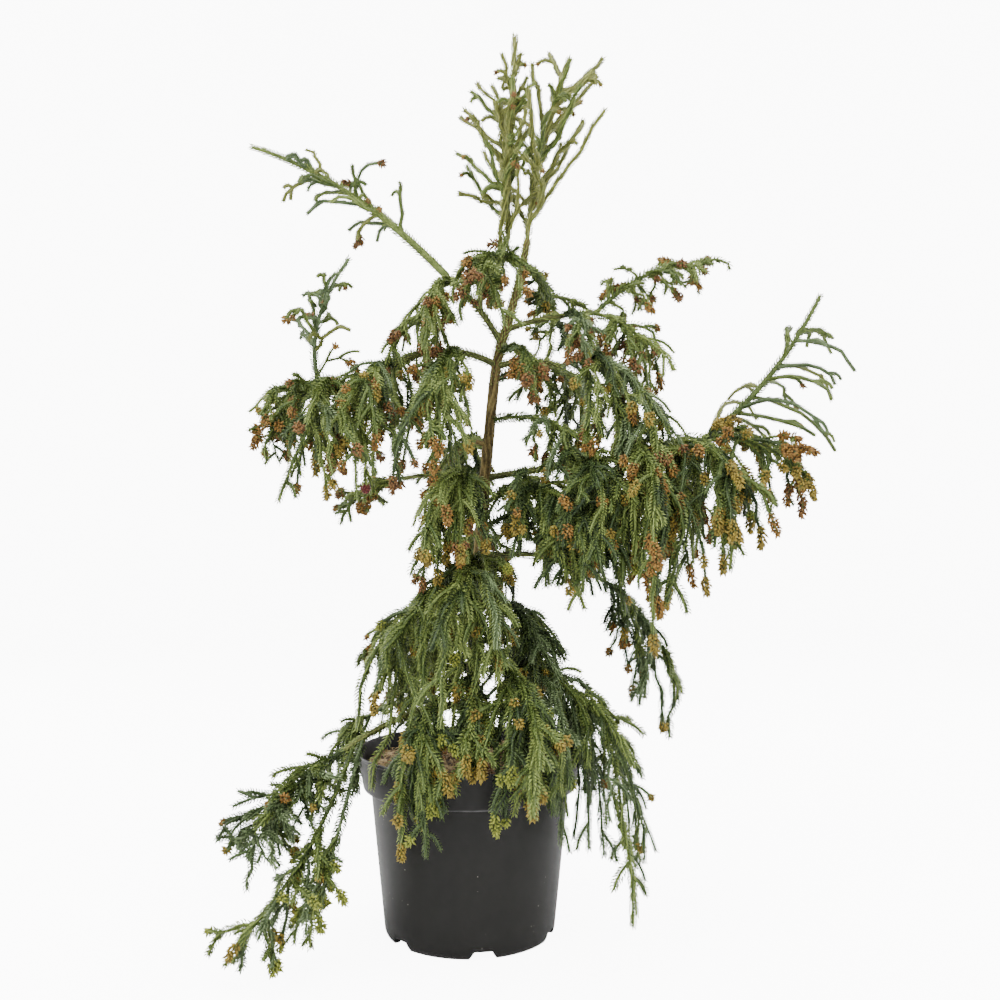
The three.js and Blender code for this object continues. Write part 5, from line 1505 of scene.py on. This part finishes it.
@dataclass
class Pot:
    """The thin moulded tub with its collar, foot notches and drain holes.

    The pale edge lines are (height, width, amount): rubbing at the rim and the foot, and a painted
    highlight at the collar's foot.
    """

    sizes: PotSizes = POT
    segments: int = 480
    row_every: float = 9.0
    middle: float = 0.02
    hole_sides: int = 24
    hole_margin: float = 3.0
    sharp_degrees: float = 38.0
    # Rubbing at the rim (179) and at the foot (0.6); at the collar's foot (144) a painted highlight.
    wear_and_highlight_lines: tuple[Vector3, ...] = ((179.0, 1.0, 1.0), (144.0, 0.9, 0.9), (0.6, 1.4, 0.5))

    def profile(self) -> Array:
        """The tub's outline from the middle of its foot, out, up, over the rim and back in."""
        s = self.sizes
        inner_top, inner_foot = s.body_top - s.wall, s.body_foot - s.wall
        return filleted((
            (0, 0, 0), (s.pad, 0, 1), (s.pad + 3, s.base_rise, 1), (s.foot_ring, s.base_rise, 1),
            (s.foot_ring + 1.5, 0, 0.8), (s.body_foot - 1.75, 0, 1.2), (s.body_foot, s.rounding, 2.4),
            (s.body_top, s.collar_foot_z - 1, 0.9), (s.collar_foot - 0.3, s.collar_foot_z - 0.6, 0.8),
            (s.collar_foot + 0.5, s.collar_foot_z + 2.2, 0.9), (s.rim - 1, s.height - 3.4, 1.2),
            (s.rim, s.height - 2, 0.9), (s.rim - 0.5, s.height, 0.9), (s.rim - s.wall - 0.6, s.height, 0.8),
            (s.rim - s.wall - 1, s.height - 2, 0.8), (s.collar_foot - s.wall, s.collar_foot_z + s.wall, 1),
            (inner_top, s.collar_foot_z - 1, 1), (inner_foot, s.base_rise + s.wall, 2),
            (s.pad, s.base_rise + s.wall, 1), (s.pad - 3, s.wall, 1), (0, s.wall, 0),
        ))

    def foot_rise(self, turn: Array) -> Array:
        """How high the foot ring is cut away, by the turn round the pot.

        Formula: six notches, each a trapezium that is widest at the ground.

        Args:
            turn: angles from the front, in radians.

        Returns:
            Millimetres above the ground.
        """
        s = self.sizes
        spacing = 2 * math.pi / s.notches
        off = np.abs((turn - math.radians(s.notch_turn_deg) + spacing / 2) % spacing - spacing / 2)
        half = off * s.body_foot
        return np.clip((s.notch_foot - half) / (s.notch_foot - s.notch_top), 0, 1) * s.base_rise

    def dress(self, finishes: Finishes) -> None:
        """Makes the pot."""
        rows = self.profile()
        filled = [np.linspace(a, b, max(2, int(np.hypot(*(b - a)) / self.row_every) + 1))[:-1]
                  for a, b in zip(rows, rows[1:])]
        rows = np.concatenate(filled + [rows[-1:]])
        rows[0, 0] = rows[-1, 0] = self.middle
        turn = full_turn(self.segments)[None]
        radius, height = rows[:, :1], np.repeat(rows[:, 1:], self.segments, axis=1)
        ring = (radius > self.sizes.foot_ring - 0.5) & (height < self.sizes.base_rise)
        height = np.where(ring, np.maximum(height, self.foot_rise(turn)), height)
        points = np.stack((radius * np.sin(turn), -radius * np.cos(turn), height), axis=-1)
        faces = grid_triangles(len(rows), self.segments)
        surface = Surface(points.reshape(-1, 3), faces, np.zeros(points.size // 3))
        made = Workshop.make("pot_tub", surface, finishes.plastic)
        self._drill(made)
        self._mark_wear_and_highlight(made.data)
        made.data.set_sharp_from_angle(angle=math.radians(self.sharp_degrees))
        Workshop.enter(made, Slot.POT, ["pot"])

    def _drill(self, made: bpy.types.Object) -> None:
        """Drills the drain holes through the base plate and applies the cut."""
        s, sides = self.sizes, self.hole_sides
        ends = (s.base_rise - self.hole_margin, s.base_rise + s.wall + self.hole_margin)
        parts = []
        for index in range(s.notches):
            turn = math.radians(s.notch_turn_deg) + index * 2 * math.pi / s.notches
            centre = np.array((s.drain_circle * math.sin(turn), -s.drain_circle * math.cos(turn), 0))
            rings = [centre + turned(s.drain_radius, z, full_turn(sides)) for z in ends]
            points = np.concatenate((*rings, [centre + (0, 0, z) for z in ends]))
            parts.append(Surface(points, capped_ring(sides), np.zeros(len(points))))
        cutter = Workshop.make("drain_cutter", Surface.joined(parts), made.data.materials[0])
        drill = made.modifiers.new("drain_holes", "BOOLEAN")
        drill.operation, drill.object, drill.solver = "DIFFERENCE", cutter, "EXACT"
        bpy.context.view_layer.update()
        graph = bpy.context.evaluated_depsgraph_get()
        cut = bpy.data.meshes.new_from_object(made.evaluated_get(graph))
        made.modifiers.clear()
        made.data = cut
        bpy.data.objects.remove(cutter)

    def _mark_wear_and_highlight(self, mesh: bpy.types.Mesh) -> None:
        """Marks as the mesh's tint the edges that hands and benches rub, and a painted highlight along the
        collar's foot.
        """
        count = len(mesh.vertices)
        points = np.empty(count * 3, np.float32)
        mesh.vertices.foreach_get("co", points)
        points = points.reshape(-1, 3) / MM
        wear = np.zeros(count)
        for height, width, amount in self.wear_and_highlight_lines:
            wear = np.maximum(wear, amount * np.exp(-((points[:, 2] - height) / width) ** 2))
        wear[np.hypot(points[:, 0], points[:, 1]) < self.sizes.foot_ring] = 0.0
        layer = mesh.attributes.get("tint") or mesh.attributes.new("tint", "FLOAT", "POINT")
        layer.data.foreach_set("value", wear.astype(np.float32))


# ===== Compost =====


@dataclass(frozen=True)
class Litter:
    """One kind of litter: how many, its least and most size, tilt, height and change of tint."""

    count: int
    size: Pair
    tilt: float
    lift: float
    own_tint: float


@dataclass
class Compost:
    """The lumpy compost, with bark chips, dry needles and fallen cones on it.

    waves are (rate, direction, height) of the crossing waves. The numbers of a chip are shares
    of its size, and those of a dry needle are shares of half its length.
    """

    sizes: SoilSizes = SOIL
    chips: Litter = Litter(SOIL.bark_chips, (1.6, 5.6), 0.35, 0.9, 0.25)
    chip_corners: Numbers = (1.0, 0.72, 0.85, 1.05, 0.66, 0.9)
    chip_narrow: float = 0.5
    chip_underside: float = 0.94
    chip_heights: Pair = (-0.5, 0.3)
    chip_crest: Vector3 = (0.1, 0.05, 0.62)
    chip_thick: Pair = (0.22, 0.5)
    chip_tints: Numbers = (0.2, 0.55, 0.2, 0.6)
    needles: Litter = Litter(SOIL.dry_needles, (3.0, 6.4), 0.28, 1.4, 0.22)
    needle_widths: Numbers = (0.05, 0.8, 1.0, 0.75, 0.05)
    needle_half: float = 0.11
    needle_keel: float = 0.10
    needle_bend: float = 0.22
    needle_tints: Pair = (0.4, 0.2)
    cones: Litter = Litter(SOIL.fallen_cones, (1.3, 2.2), 1.2, 1.6, 0.15)
    cones_in_group: int = 4
    cones_strewn: Vector3 = (2.4, 2.4, 0.36)
    cone_longer: float = 1.6
    rings: int = 96
    segments: int = 280
    seed: int = 77
    gap: float = 0.5
    middle: float = 0.05
    clear: Pair = (14.0, 6.0)
    fall: float = 0.6
    heap: Pair = (3.2, 26.0)
    cross_rate: float = 0.9
    waves: tuple[Vector3, ...] = (
        (0.061, 0.4, 1.3), (0.13, 1.9, 0.9), (0.29, 3.1, 0.55), (0.61, 4.4, 0.42), (1.15, 5.2, 0.3),
    )

    def height(self, x: Array, y: Array) -> Array:
        """Height of the compost.

        Formula: a gentle fall to the edge, plus five crossing waves of falling size, plus a
        small heap round the trunk.

        Args:
            x: millimetres to the right.
            y: millimetres away.

        Returns:
            Millimetres above the ground.
        """
        radius = np.hypot(x, y)
        lumps = sum(size * np.sin(rate * (x * math.cos(turn) + y * math.sin(turn)) + turn)
                    * np.cos(rate * self.cross_rate * (y * math.cos(turn) - x * math.sin(turn))
                             + 2 * turn)
                    for rate, turn, size in self.waves)
        heap = self.heap[0] * np.exp(-((radius / self.heap[1]) ** 2))
        drop = self.sizes.edge_drop * (radius / self.sizes.radius) ** 3
        return self.sizes.top - self.fall + lumps + heap - drop

    def dress(self, finishes: Finishes) -> None:
        """Makes the compost and what lies on it."""
        turn = full_turn(self.segments)
        radius = np.linspace(self.middle, self.sizes.radius - 0.2, self.rings)[:, None]
        top = turned(radius, 0 * radius, turn)
        top[..., 2] = self.height(top[..., 0], top[..., 1])
        inner, base = POT.wall + self.gap, POT.base_rise + POT.wall + 0.4
        side = ((POT.collar_foot - inner, POT.collar_foot_z + 4),
                (POT.body_top - inner, POT.collar_foot_z - 2), (POT.body_foot - inner, base),
                (self.middle, base))
        points = np.concatenate((top, [turned(out, height, turn) for out, height in side])).reshape(-1, 3)
        deck = np.random.default_rng(self.seed)
        faces = grid_triangles(self.rings + len(side), self.segments)
        bed = Workshop.make("compost_bed", Surface(points, faces, deck.uniform(0, 1, len(points))),
                            finishes.compost)
        Workshop.enter(bed, Slot.SOIL, ["soil"])
        for name, litter, material in (
            ("bark_chips", self._chips(deck), finishes.chips),
            ("dry_needles", self._dry_needles(deck), finishes.dry_needles),
            ("fallen_cones", self._fallen_cones(deck), finishes.cones[ConeTone.RUST]),
        ):
            Workshop.enter(Workshop.make(name, litter, material, smooth=False), Slot.SOIL, ())

    def _scatter(self, deck: Random, litter: Litter) -> Array:
        """Places spread evenly over the compost, clear of the trunk and the wall."""
        near, far = self.clear[0], self.sizes.radius - self.clear[1]
        radius = np.sqrt(deck.uniform(near**2, far**2, litter.count))
        places = turned(radius, litter.lift, deck.uniform(0, 2 * math.pi, litter.count))
        places[:, 2] += self.height(places[:, 0], places[:, 1])
        return places

    @staticmethod
    def _flat_axes(deck: Random, count: int, tilt: float) -> Array:
        """Axes of things that lie nearly flat, each turned its own way."""
        up = np.append(deck.normal(0, tilt, (2, count)), np.ones((1, count)), axis=0).T
        return frames(unit(up), deck.uniform(0, 2 * math.pi, count))

    def _chips(self, deck: Random) -> Surface:
        """Flat irregular slivers of bark: a many-sided slab with a raised middle."""
        own, sides = self.chips, len(self.chip_corners)
        ring = turned(np.array(self.chip_corners), 0.0, full_turn(sides)) * (1, self.chip_narrow, 0)
        low, high = ((0, 0, height) for height in self.chip_heights)
        template = np.concatenate((ring * self.chip_underside + low, ring + high,
                                   [low, self.chip_crest]))
        size = deck.uniform(*own.size, own.count)[:, None, None]
        axes = self._flat_axes(deck, own.count, own.tilt) * size
        axes[:, 2] *= deck.uniform(*self.chip_thick, own.count)[:, None]
        tint = np.repeat(self.chip_tints, (sides, sides, 1, 1))
        return Surface.stamped(template, capped_ring(sides), tint, self._scatter(deck, own), axes,
                               deck.normal(0, own.own_tint, own.count))

    def _dry_needles(self, deck: Random) -> Surface:
        """Dry bent needles: slim three-sided slivers with a raised middle."""
        own, stations = self.needles, len(self.needle_widths)
        share, width = np.linspace(-1, 1, stations), np.array(self.needle_widths)
        lift = self.needle_bend * (1 - share**2)
        left, right = (np.stack((share, way * self.needle_half * width, lift), 1) for way in (1, -1))
        keel = np.stack((share, 0 * share, lift + self.needle_keel * width), axis=1)
        here = np.arange(stations - 1)
        sides = ((0, stations), (stations, 2 * stations), (2 * stations, 0))
        strip = [np.stack((here + a, here + b, here + b + 1), 1) for a, b in sides]
        back = [np.stack((here + a, here + b + 1, here + a + 1), 1) for a, b in sides]
        axes = self._flat_axes(deck, own.count, own.tilt)
        axes = axes * deck.uniform(*own.size, own.count)[:, None, None]
        tint = np.tile(self.needle_tints[0] + self.needle_tints[1] * np.abs(share), 3)
        return Surface.stamped(np.concatenate((left, keel, right)), np.concatenate(strip + back), tint,
                               self._scatter(deck, own), axes, deck.normal(0, own.own_tint, own.count))

    def _fallen_cones(self, deck: Random) -> Surface:
        """Spent cones lying in small groups."""
        own, (ball, faces) = self.cones, icosahedron()
        places = np.repeat(self._scatter(deck, own), self.cones_in_group, axis=0)
        places = places + deck.normal(0, 1, places.shape) * self.cones_strewn
        count = len(places)
        axes = self._flat_axes(deck, count, own.tilt) * deck.uniform(*own.size, count)[:, None, None]
        axes[:, 2] *= self.cone_longer
        return Surface.stamped(ball, faces, np.clip(0.5 + 0.5 * ball[:, 2], 0, 1), places, axes,
                               deck.normal(0, own.own_tint, count))


# ===== Finishes =====


class Wires:
    """A node tree, with short ways to add nodes to it and to feed their sockets."""

    MIX_INPUTS = (0, 6, 7)
    MIX_OUTPUT = 2

    def __init__(self, tree: bpy.types.NodeTree) -> None:
        self.tree = tree

    def feed(self, socket: Socket, value: object) -> None:
        """Links a socket to another, or sets it to a number, a vector or a colour."""
        if isinstance(value, bpy.types.NodeSocket):
            self.tree.links.new(value, socket)
        else:
            socket.default_value = (*value[:3], 1.0) if socket.type == "RGBA" else value

    def node(self, kind: str, *listed: object, **named: object) -> bpy.types.Node:
        """A new shader node whose first inputs and named inputs are fed."""
        made = self.tree.nodes.new(f"ShaderNode{kind}")
        for socket, value in zip(made.inputs, listed):
            self.feed(socket, value)
        for label, value in named.items():
            self.feed(made.inputs[label.title()], value)
        return made

    def place(self) -> Socket:
        """The object's own coordinates, in metres."""
        return self.node("TexCoord").outputs["Object"]

    def noise(self, vector: Socket, scale: Socket | float, detail: float) -> Socket:
        """A noise of a scale and a detail, read at a vector."""
        return self.node("TexNoise", vector=vector, scale=scale, detail=detail).outputs["Fac"]

    def math(self, operation: str, *values: Socket | float, clamp: bool = False) -> Socket:
        """One arithmetic node over sockets and numbers."""
        made = self.node("Math", *values)
        made.operation, made.use_clamp = operation, clamp
        return made.outputs[0]

    def blend(self, share: Socket | float, first: Socket | Colour, second: Socket | Colour) -> Socket:
        """A blend from one colour to another by a share."""
        made = self.node("Mix")
        made.data_type = "RGBA"
        for index, value in zip(self.MIX_INPUTS, (share, first, second)):
            self.feed(made.inputs[index], value)
        return made.outputs[self.MIX_OUTPUT]


class Effect(Wires):
    """A shared shader node group, whose inputs are read by name and whose outputs are given."""

    VALUE_KINDS = {3: "Vector", 4: "Color"}

    def __init__(self, name: str, inputs: dict[str, object], outputs: dict[str, str]) -> None:
        super().__init__(bpy.data.node_groups.new(name, "ShaderNodeTree"))
        for label, value in inputs.items():
            kind = "Float" if isinstance(value, float) else self.VALUE_KINDS[len(value)]
            self._socket(label, "INPUT", kind).default_value = value
        for label, kind in outputs.items():
            self._socket(label, "OUTPUT", kind)
        self.start = self.tree.nodes.new("NodeGroupInput")
        self.end = self.tree.nodes.new("NodeGroupOutput")

    def _socket(self, label: str, way: str, kind: str) -> bpy.types.NodeTreeInterfaceSocket:
        """A new socket on the group's face."""
        return self.tree.interface.new_socket(label, in_out=way, socket_type=f"NodeSocket{kind}")

    def __getitem__(self, label: str) -> Socket:
        """The input of a name."""
        return self.start.outputs[label]

    def give(self, **outputs: Socket) -> Effect:
        """Links the named outputs and returns the effect."""
        for label, value in outputs.items():
            self.feed(self.end.inputs[label.title()], value)
        return self


class Skin(Wires):
    """A new material, wired to its own Principled shader."""

    def __init__(self, name: str) -> None:
        self.material = bpy.data.materials.new(name)
        self.material.use_nodes = True
        super().__init__(self.material.node_tree)
        self.shader = next(node for node in self.tree.nodes if node.type == "BSDF_PRINCIPLED")

    def tint(self) -> Socket:
        """The number that each vertex carries for its finish."""
        attribute = self.node("Attribute")
        attribute.attribute_name = "tint"
        return attribute.outputs["Fac"]

    def use(self, effect: Effect, **inputs: object) -> bpy.types.bpy_prop_collection:
        """Places a shared effect, feeds its named inputs and returns its outputs."""
        made = self.node("Group")
        made.node_tree = effect.tree
        for label, value in inputs.items():
            self.feed(made.inputs[label.title()], value)
        return made.outputs

    def finished(self, colour: Socket | Colour, roughness: Socket | float,
                 **others: object) -> Material:
        """Feeds the shader and returns the material.

        Args:
            colour: the base colour.
            roughness: the roughness.
            others: specular, normal, glow and glow_strength, as far as they are wanted.

        Returns:
            The material.
        """
        labels = {"specular": "Specular IOR Level", "normal": "Normal", "glow": "Emission Color",
                  "glow_strength": "Emission Strength"}
        fed = {"Base Color": colour, "Roughness": roughness,
               **{labels[key]: value for key, value in others.items()}}
        for label, value in fed.items():
            self.feed(self.shader.inputs[label], value)
        return self.material


class Effects:
    """The shared effects, each built once."""

    DARK, PALE, DUST = (0.1, 0.1, 0.1, 1.0), (0.3, 0.3, 0.3, 1.0), (0.3, 0.28, 0.25, 1.0)
    FAST_OVER_SLOW = 9.0
    RUB_AND_HIGHLIGHT_CONTRAST = (1.6, -0.35)
    FILM_SCALE, FILM_CONTRAST = 9.0, (2.2, -0.5)
    SPECK_RADIUS, SPECK_SCALE, SPECK_LEVEL = 0.085, 22.0, 0.60
    ROUGH_DRIFT, ROUGH_DUST = (0.16, -0.08), 0.3

    def __init__(self) -> None:
        self.drift = self._tone_drift()
        self.grain = self._grain_bump()
        self.wear = self._edge_wear()
        self.dust = self._dust_film()

    def _tone_drift(self) -> Effect:
        """From a base to a tip colour by the surface's tint and by slow and fast drifts."""
        own = Effect("tone_drift", {"Base": self.DARK, "Tip": self.PALE, "Tint": 0.5, "Scale": 30.0,
                                    "Amount": 0.3}, {"Color": "Color"})
        place = own.place()
        slow = own.noise(place, own["Scale"], 2.0)
        fast = own.noise(place, own.math("MULTIPLY", own["Scale"], self.FAST_OVER_SLOW), 1.0)
        both = own.math("SUBTRACT", own.math("ADD", slow, fast), 1.0)
        swing = own.math("MULTIPLY", both, own["Amount"])
        share = own.math("ADD", own["Tint"], swing, clamp=True)
        return own.give(color=own.blend(share, own["Base"], own["Tip"]))

    def _grain_bump(self) -> Effect:
        """Fine grain as a bump."""
        own = Effect("grain_bump", {"Scale": 800.0, "Strength": 0.3, "Distance": 0.001,
                                    "Stretch": (1.0, 1.0, 1.0)}, {"Normal": "Vector"})
        stretched = own.node("VectorMath", own.place(), own["Stretch"])
        stretched.operation = "MULTIPLY"
        height = own.noise(stretched.outputs[0], own["Scale"], 4.0)
        bump = own.node("Bump", height=height, strength=own["Strength"], distance=own["Distance"])
        return own.give(normal=bump.outputs["Normal"])

    def _edge_wear(self) -> Effect:
        """Pale lines along masked edges, broken up by a noise: rubbing, and on the pot also a painted
        highlight.
        """
        own = Effect("edge_wear", {"Color": self.DARK, "Worn": self.PALE, "Mask": 0.0, "Scale": 60.0,
                                   "Amount": 0.6}, {"Color": "Color", "Rubbed": "Float"})
        broken = own.noise(own.place(), own["Scale"], 5.0)
        eased = own.math("MULTIPLY_ADD", broken, *self.RUB_AND_HIGHLIGHT_CONTRAST, clamp=True)
        masked = own.math("MULTIPLY", eased, own["Mask"])
        share = own.math("MULTIPLY", masked, own["Amount"], clamp=True)
        return own.give(color=own.blend(share, own["Color"], own["Worn"]), rubbed=share)

    def _dust_film(self) -> Effect:
        """A thin uneven film of dust, with small specks and splashes."""
        own = Effect("dust_film", {"Color": self.DARK, "Dust": self.DUST, "Film": 0.05, "Specks": 0.5,
                                   "Scale": 90.0, "Roughness": 0.45},
                     {"Color": "Color", "Roughness": "Float"})
        place = own.place()
        slow = own.noise(place, self.FILM_SCALE, 6.0)
        patches = own.math("MULTIPLY_ADD", slow, *self.FILM_CONTRAST, clamp=True)
        film = own.math("MULTIPLY", patches, own["Film"])
        cells = own.node("TexVoronoi", vector=place, scale=own["Scale"])
        near = own.math("LESS_THAN", cells.outputs["Distance"], self.SPECK_RADIUS)
        rare = own.math("GREATER_THAN", own.noise(place, self.SPECK_SCALE, 3.0), self.SPECK_LEVEL)
        specks = own.math("MULTIPLY", own.math("MULTIPLY", near, rare), own["Specks"])
        share = own.math("ADD", film, specks, clamp=True)
        dusty = own.math("MULTIPLY_ADD", share, self.ROUGH_DUST, own["Roughness"])
        rough = own.math("ADD", own.math("MULTIPLY_ADD", slow, *self.ROUGH_DRIFT), dusty, clamp=True)
        return own.give(color=own.blend(share, own["Color"], own["Dust"]), roughness=rough)


@dataclass(frozen=True)
class GrownFinish:
    """Waxy green or brown skin that runs from a base to a tip colour."""

    name: str
    base: Colour
    tip: Colour
    roughness: float = 0.50
    scale: float = 26.0
    amount: float = 0.55
    specular: float = 0.32
    bump: float = 0.15
    bump_scale: float = 1400.0
    bump_depth: float = 0.0006
    stretch: Vector3 = (1.0, 1.0, 1.0)

    def make(self, effects: Effects) -> Material:
        """Builds the material."""
        skin = Skin(self.name)
        tone = skin.use(effects.drift, base=self.base, tip=self.tip, tint=skin.tint(),
                        scale=self.scale, amount=self.amount)
        grain = skin.use(effects.grain, scale=self.bump_scale, strength=self.bump,
                         distance=self.bump_depth, stretch=self.stretch)
        return skin.finished(tone["Color"], self.roughness, normal=grain["Normal"],
                             specular=self.specular)


@dataclass(frozen=True)
class PlasticFinish:
    """Charcoal moulded plastic with rubbing along its edges, a painted highlight along the collar's foot,
    and a thin film of dust.
    """

    name: str = "charcoal_moulded_plastic"
    colour: Colour = (0.0055, 0.0055, 0.0052)
    # Pale grey of the rubbing along the edges and of the painted highlight along the collar's foot.
    worn: Colour = (0.16, 0.16, 0.165)
    wear_and_highlight_scale: float = 70.0
    wear: float = 0.75
    dust: Colour = (0.26, 0.25, 0.22)
    dust_scale: float = 150.0
    film: float = 0.016
    specks: float = 0.55
    roughness: float = 0.40
    specular: float = 0.16
    grain: Vector3 = (900.0, 0.10, 0.0004)

    def make(self, effects: Effects) -> Material:
        """Builds the material."""
        skin = Skin(self.name)
        wear = skin.use(effects.wear, color=self.colour, worn=self.worn, mask=skin.tint(),
                        scale=self.wear_and_highlight_scale, amount=self.wear)
        dust = skin.use(effects.dust, color=wear["Color"], dust=self.dust, film=self.film,
                        specks=self.specks, scale=self.dust_scale, roughness=self.roughness)
        scale, strength, depth = self.grain
        grain = skin.use(effects.grain, scale=scale, strength=strength, distance=depth)
        return skin.finished(dust["Color"], dust["Roughness"], normal=grain["Normal"],
                             specular=self.specular)


@dataclass(frozen=True)
class CompostFinish:
    """Dark crumbly compost with tan fibres and black crumbs."""

    name: str = "crumbly_compost"
    dark: Colour = (0.016, 0.010, 0.006)
    middle: Colour = (0.085, 0.052, 0.028)
    pale: Colour = (0.30, 0.215, 0.125)
    drift: Pair = (90.0, 0.9)
    fibre_scale: float = 420.0
    fibre_contrast: Pair = (5.0, -2.75)
    roughness: float = 0.92
    grain: Vector3 = (520.0, 0.9, 0.0016)

    def make(self, effects: Effects) -> Material:
        """Builds the material."""
        skin = Skin(self.name)
        scale, amount = self.drift
        tone = skin.use(effects.drift, base=self.dark, tip=self.middle, tint=skin.tint(),
                        scale=scale, amount=amount)
        threads = skin.noise(skin.place(), self.fibre_scale, 5.0)
        fibre = skin.math("MULTIPLY_ADD", threads, *self.fibre_contrast, clamp=True)
        scale, strength, depth = self.grain
        grain = skin.use(effects.grain, scale=scale, strength=strength, distance=depth)
        return skin.finished(skin.blend(fibre, tone["Color"], self.pale), self.roughness,
                             normal=grain["Normal"])


class Finishes:
    """Every material of the object."""

    def __init__(self) -> None:
        effects = Effects()
        self.needles = {tone: GrownFinish(f"needles_{tone.name.lower()}", tone.base, tone.tip).make(effects)
                        for tone in Tone}
        self.cones = {tone: GrownFinish(
            f"cones_{tone.name.lower()}", tone.base, tone.tip, roughness=0.62, scale=60.0, amount=0.6,
            specular=0.3, bump=0.4, bump_scale=1600.0).make(effects) for tone in ConeTone}
        self.bark = GrownFinish(
            "stringy_bark", (0.032, 0.022, 0.007), (0.215, 0.165, 0.062), roughness=0.86, scale=70.0,
            amount=0.8, specular=0.2, bump=0.8, bump_scale=420.0, stretch=(1.0, 1.0, 0.14)).make(effects)
        self.green_bark = GrownFinish(
            "green_bark", (0.026, 0.032, 0.007), (0.130, 0.140, 0.038), roughness=0.7, scale=60.0,
            amount=0.8, specular=0.3, bump=0.6, bump_scale=500.0, stretch=(1.0, 1.0, 0.3)).make(effects)
        self.chips = GrownFinish(
            "bark_chips", (0.10, 0.060, 0.032), (0.40, 0.29, 0.175), roughness=0.88, scale=55.0,
            amount=0.9, specular=0.2, bump=0.7, bump_scale=700.0).make(effects)
        self.dry_needles = GrownFinish(
            "dry_needles", (0.20, 0.135, 0.06), (0.46, 0.35, 0.19), roughness=0.75, scale=50.0,
            amount=0.8, specular=0.25).make(effects)
        self.compost = CompostFinish().make(effects)
        self.plastic = PlasticFinish().make(effects)


# ===== Studio =====


@dataclass(frozen=True)
class SoftLight:
    """One soft light: where it stands, what it looks at, its size in metres and its power."""

    name: str
    place: Vector3
    aim: Vector3
    size: Pair
    power: float
    colour: Colour = (1.0, 1.0, 1.0)

    def build(self) -> None:
        """Makes the light, whose own z axis points back from what it looks at."""
        data = bpy.data.lights.new(self.name, "AREA")
        data.shape, data.size, data.size_y = "RECTANGLE", *self.size
        data.energy, data.color = self.power, self.colour
        back = unit(np.subtract(self.place, self.aim))
        axes = np.append(frames(back[None], np.zeros(1))[0], [self.place], axis=0)
        made = bpy.data.objects.new(self.name, data)
        made.matrix_world = Matrix([*axes.T.tolist(), (0, 0, 0, 1)])
        bpy.context.scene.collection.objects.link(made)


@dataclass
class Studio:
    """Pale floor that curves up into a wall, soft lights and the camera."""

    floor_rings: Numbers = (0.5, 400.0, 1400.0)
    floor_radius: float = 2600.0
    curve: float = 700.0
    wall: float = 3300.0
    floor_grey: float = 0.82
    glow: float = 9.0
    sky: float = 1.36
    lens: float = 41.4
    sensor: float = 36.0
    eye: Vector3 = (0.030, -1.150, 0.427)
    lights: tuple[SoftLight, ...] = (
        SoftLight("key_left", (-1.5, -1.7, 2.1), (0.0, 0.0, 0.5), (1.3, 1.3), 86.0, (1.0, 0.985, 0.95)),
        SoftLight("fill_right", (1.8, -1.5, 1.3), (0.0, 0.0, 0.45), (1.6, 1.6), 26.0),
        SoftLight("top", (0.0, -0.1, 2.7), (0.0, 0.0, 0.3), (1.6, 1.6), 66.0, (1.0, 0.99, 0.96)),
        SoftLight("rim_left", (-1.5, 1.1, 0.9), (0.0, 0.0, 0.35), (0.7, 2.0), 22.0),
        SoftLight("rim_right", (1.6, 1.0, 0.9), (0.0, 0.0, 0.35), (0.7, 2.0), 26.0),
    )

    def build(self) -> None:
        """Makes the floor, the lights, the sky and the camera."""
        self._floor()
        for light in self.lights:
            light.build()
        world = bpy.data.worlds.new("soft_sky")
        world.use_nodes = True
        bpy.context.scene.world = world
        background = world.node_tree.nodes["Background"]
        background.inputs["Color"].default_value = (1.0, 1.0, 1.0, 1.0)
        background.inputs["Strength"].default_value = self.sky
        camera = bpy.data.cameras.new("front_view")
        camera.lens, camera.sensor_width = self.lens, self.sensor
        made = bpy.data.objects.new("front_view", camera)
        made.location, made.rotation_euler = self.eye, (math.pi / 2, 0.0, 0.0)
        bpy.context.scene.collection.objects.link(made)
        bpy.context.scene.camera = made

    def _floor(self) -> None:
        """The floor: a wide disc whose edge curves up into a round wall."""
        share = np.linspace(0.0, 1.0, 20)
        bend = np.stack((self.floor_radius + self.curve * np.sin(share * math.pi / 2),
                         self.curve * (1 - np.cos(share * math.pi / 2))), axis=1)
        flat = [(radius, 0.0) for radius in self.floor_rings]
        rows = np.concatenate((flat, bend, ((self.floor_radius + self.curve, self.wall),)))
        points = turned(rows[:, :1], rows[:, 1:], full_turn(128))
        skin = Skin("pale_floor")
        seen = skin.node("LightPath").outputs["Is Camera Ray"]
        glow = skin.blend(seen, (0.0, 0.0, 0.0), (1.0, 1.0, 1.0))
        material = skin.finished((self.floor_grey,) * 3, 0.9, glow=glow, glow_strength=self.glow)
        faces, tint = grid_triangles(*points.shape[:2]), np.zeros(points.size // 3)
        Workshop.make("pale_floor", Surface(points.reshape(-1, 3), faces, tint), material)


# ===== Assembly =====


def main() -> None:
    """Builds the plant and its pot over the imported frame, then the studio."""
    logging.basicConfig(level=logging.INFO, format="%(name)s: %(message)s")
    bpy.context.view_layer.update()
    finishes = Finishes()
    crown = Crown()
    Pot().dress(finishes)
    Compost().dress(finishes)
    Woodwork(crown).dress(finishes)
    Foliage(crown).dress(finishes)
    Studio().build()


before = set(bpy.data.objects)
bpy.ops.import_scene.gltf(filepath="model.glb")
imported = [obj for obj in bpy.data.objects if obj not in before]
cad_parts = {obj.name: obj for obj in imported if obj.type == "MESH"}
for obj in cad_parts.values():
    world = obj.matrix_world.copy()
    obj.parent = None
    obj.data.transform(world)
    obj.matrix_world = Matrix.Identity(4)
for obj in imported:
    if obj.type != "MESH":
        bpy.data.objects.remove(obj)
if __name__ == "__main__":
    main()
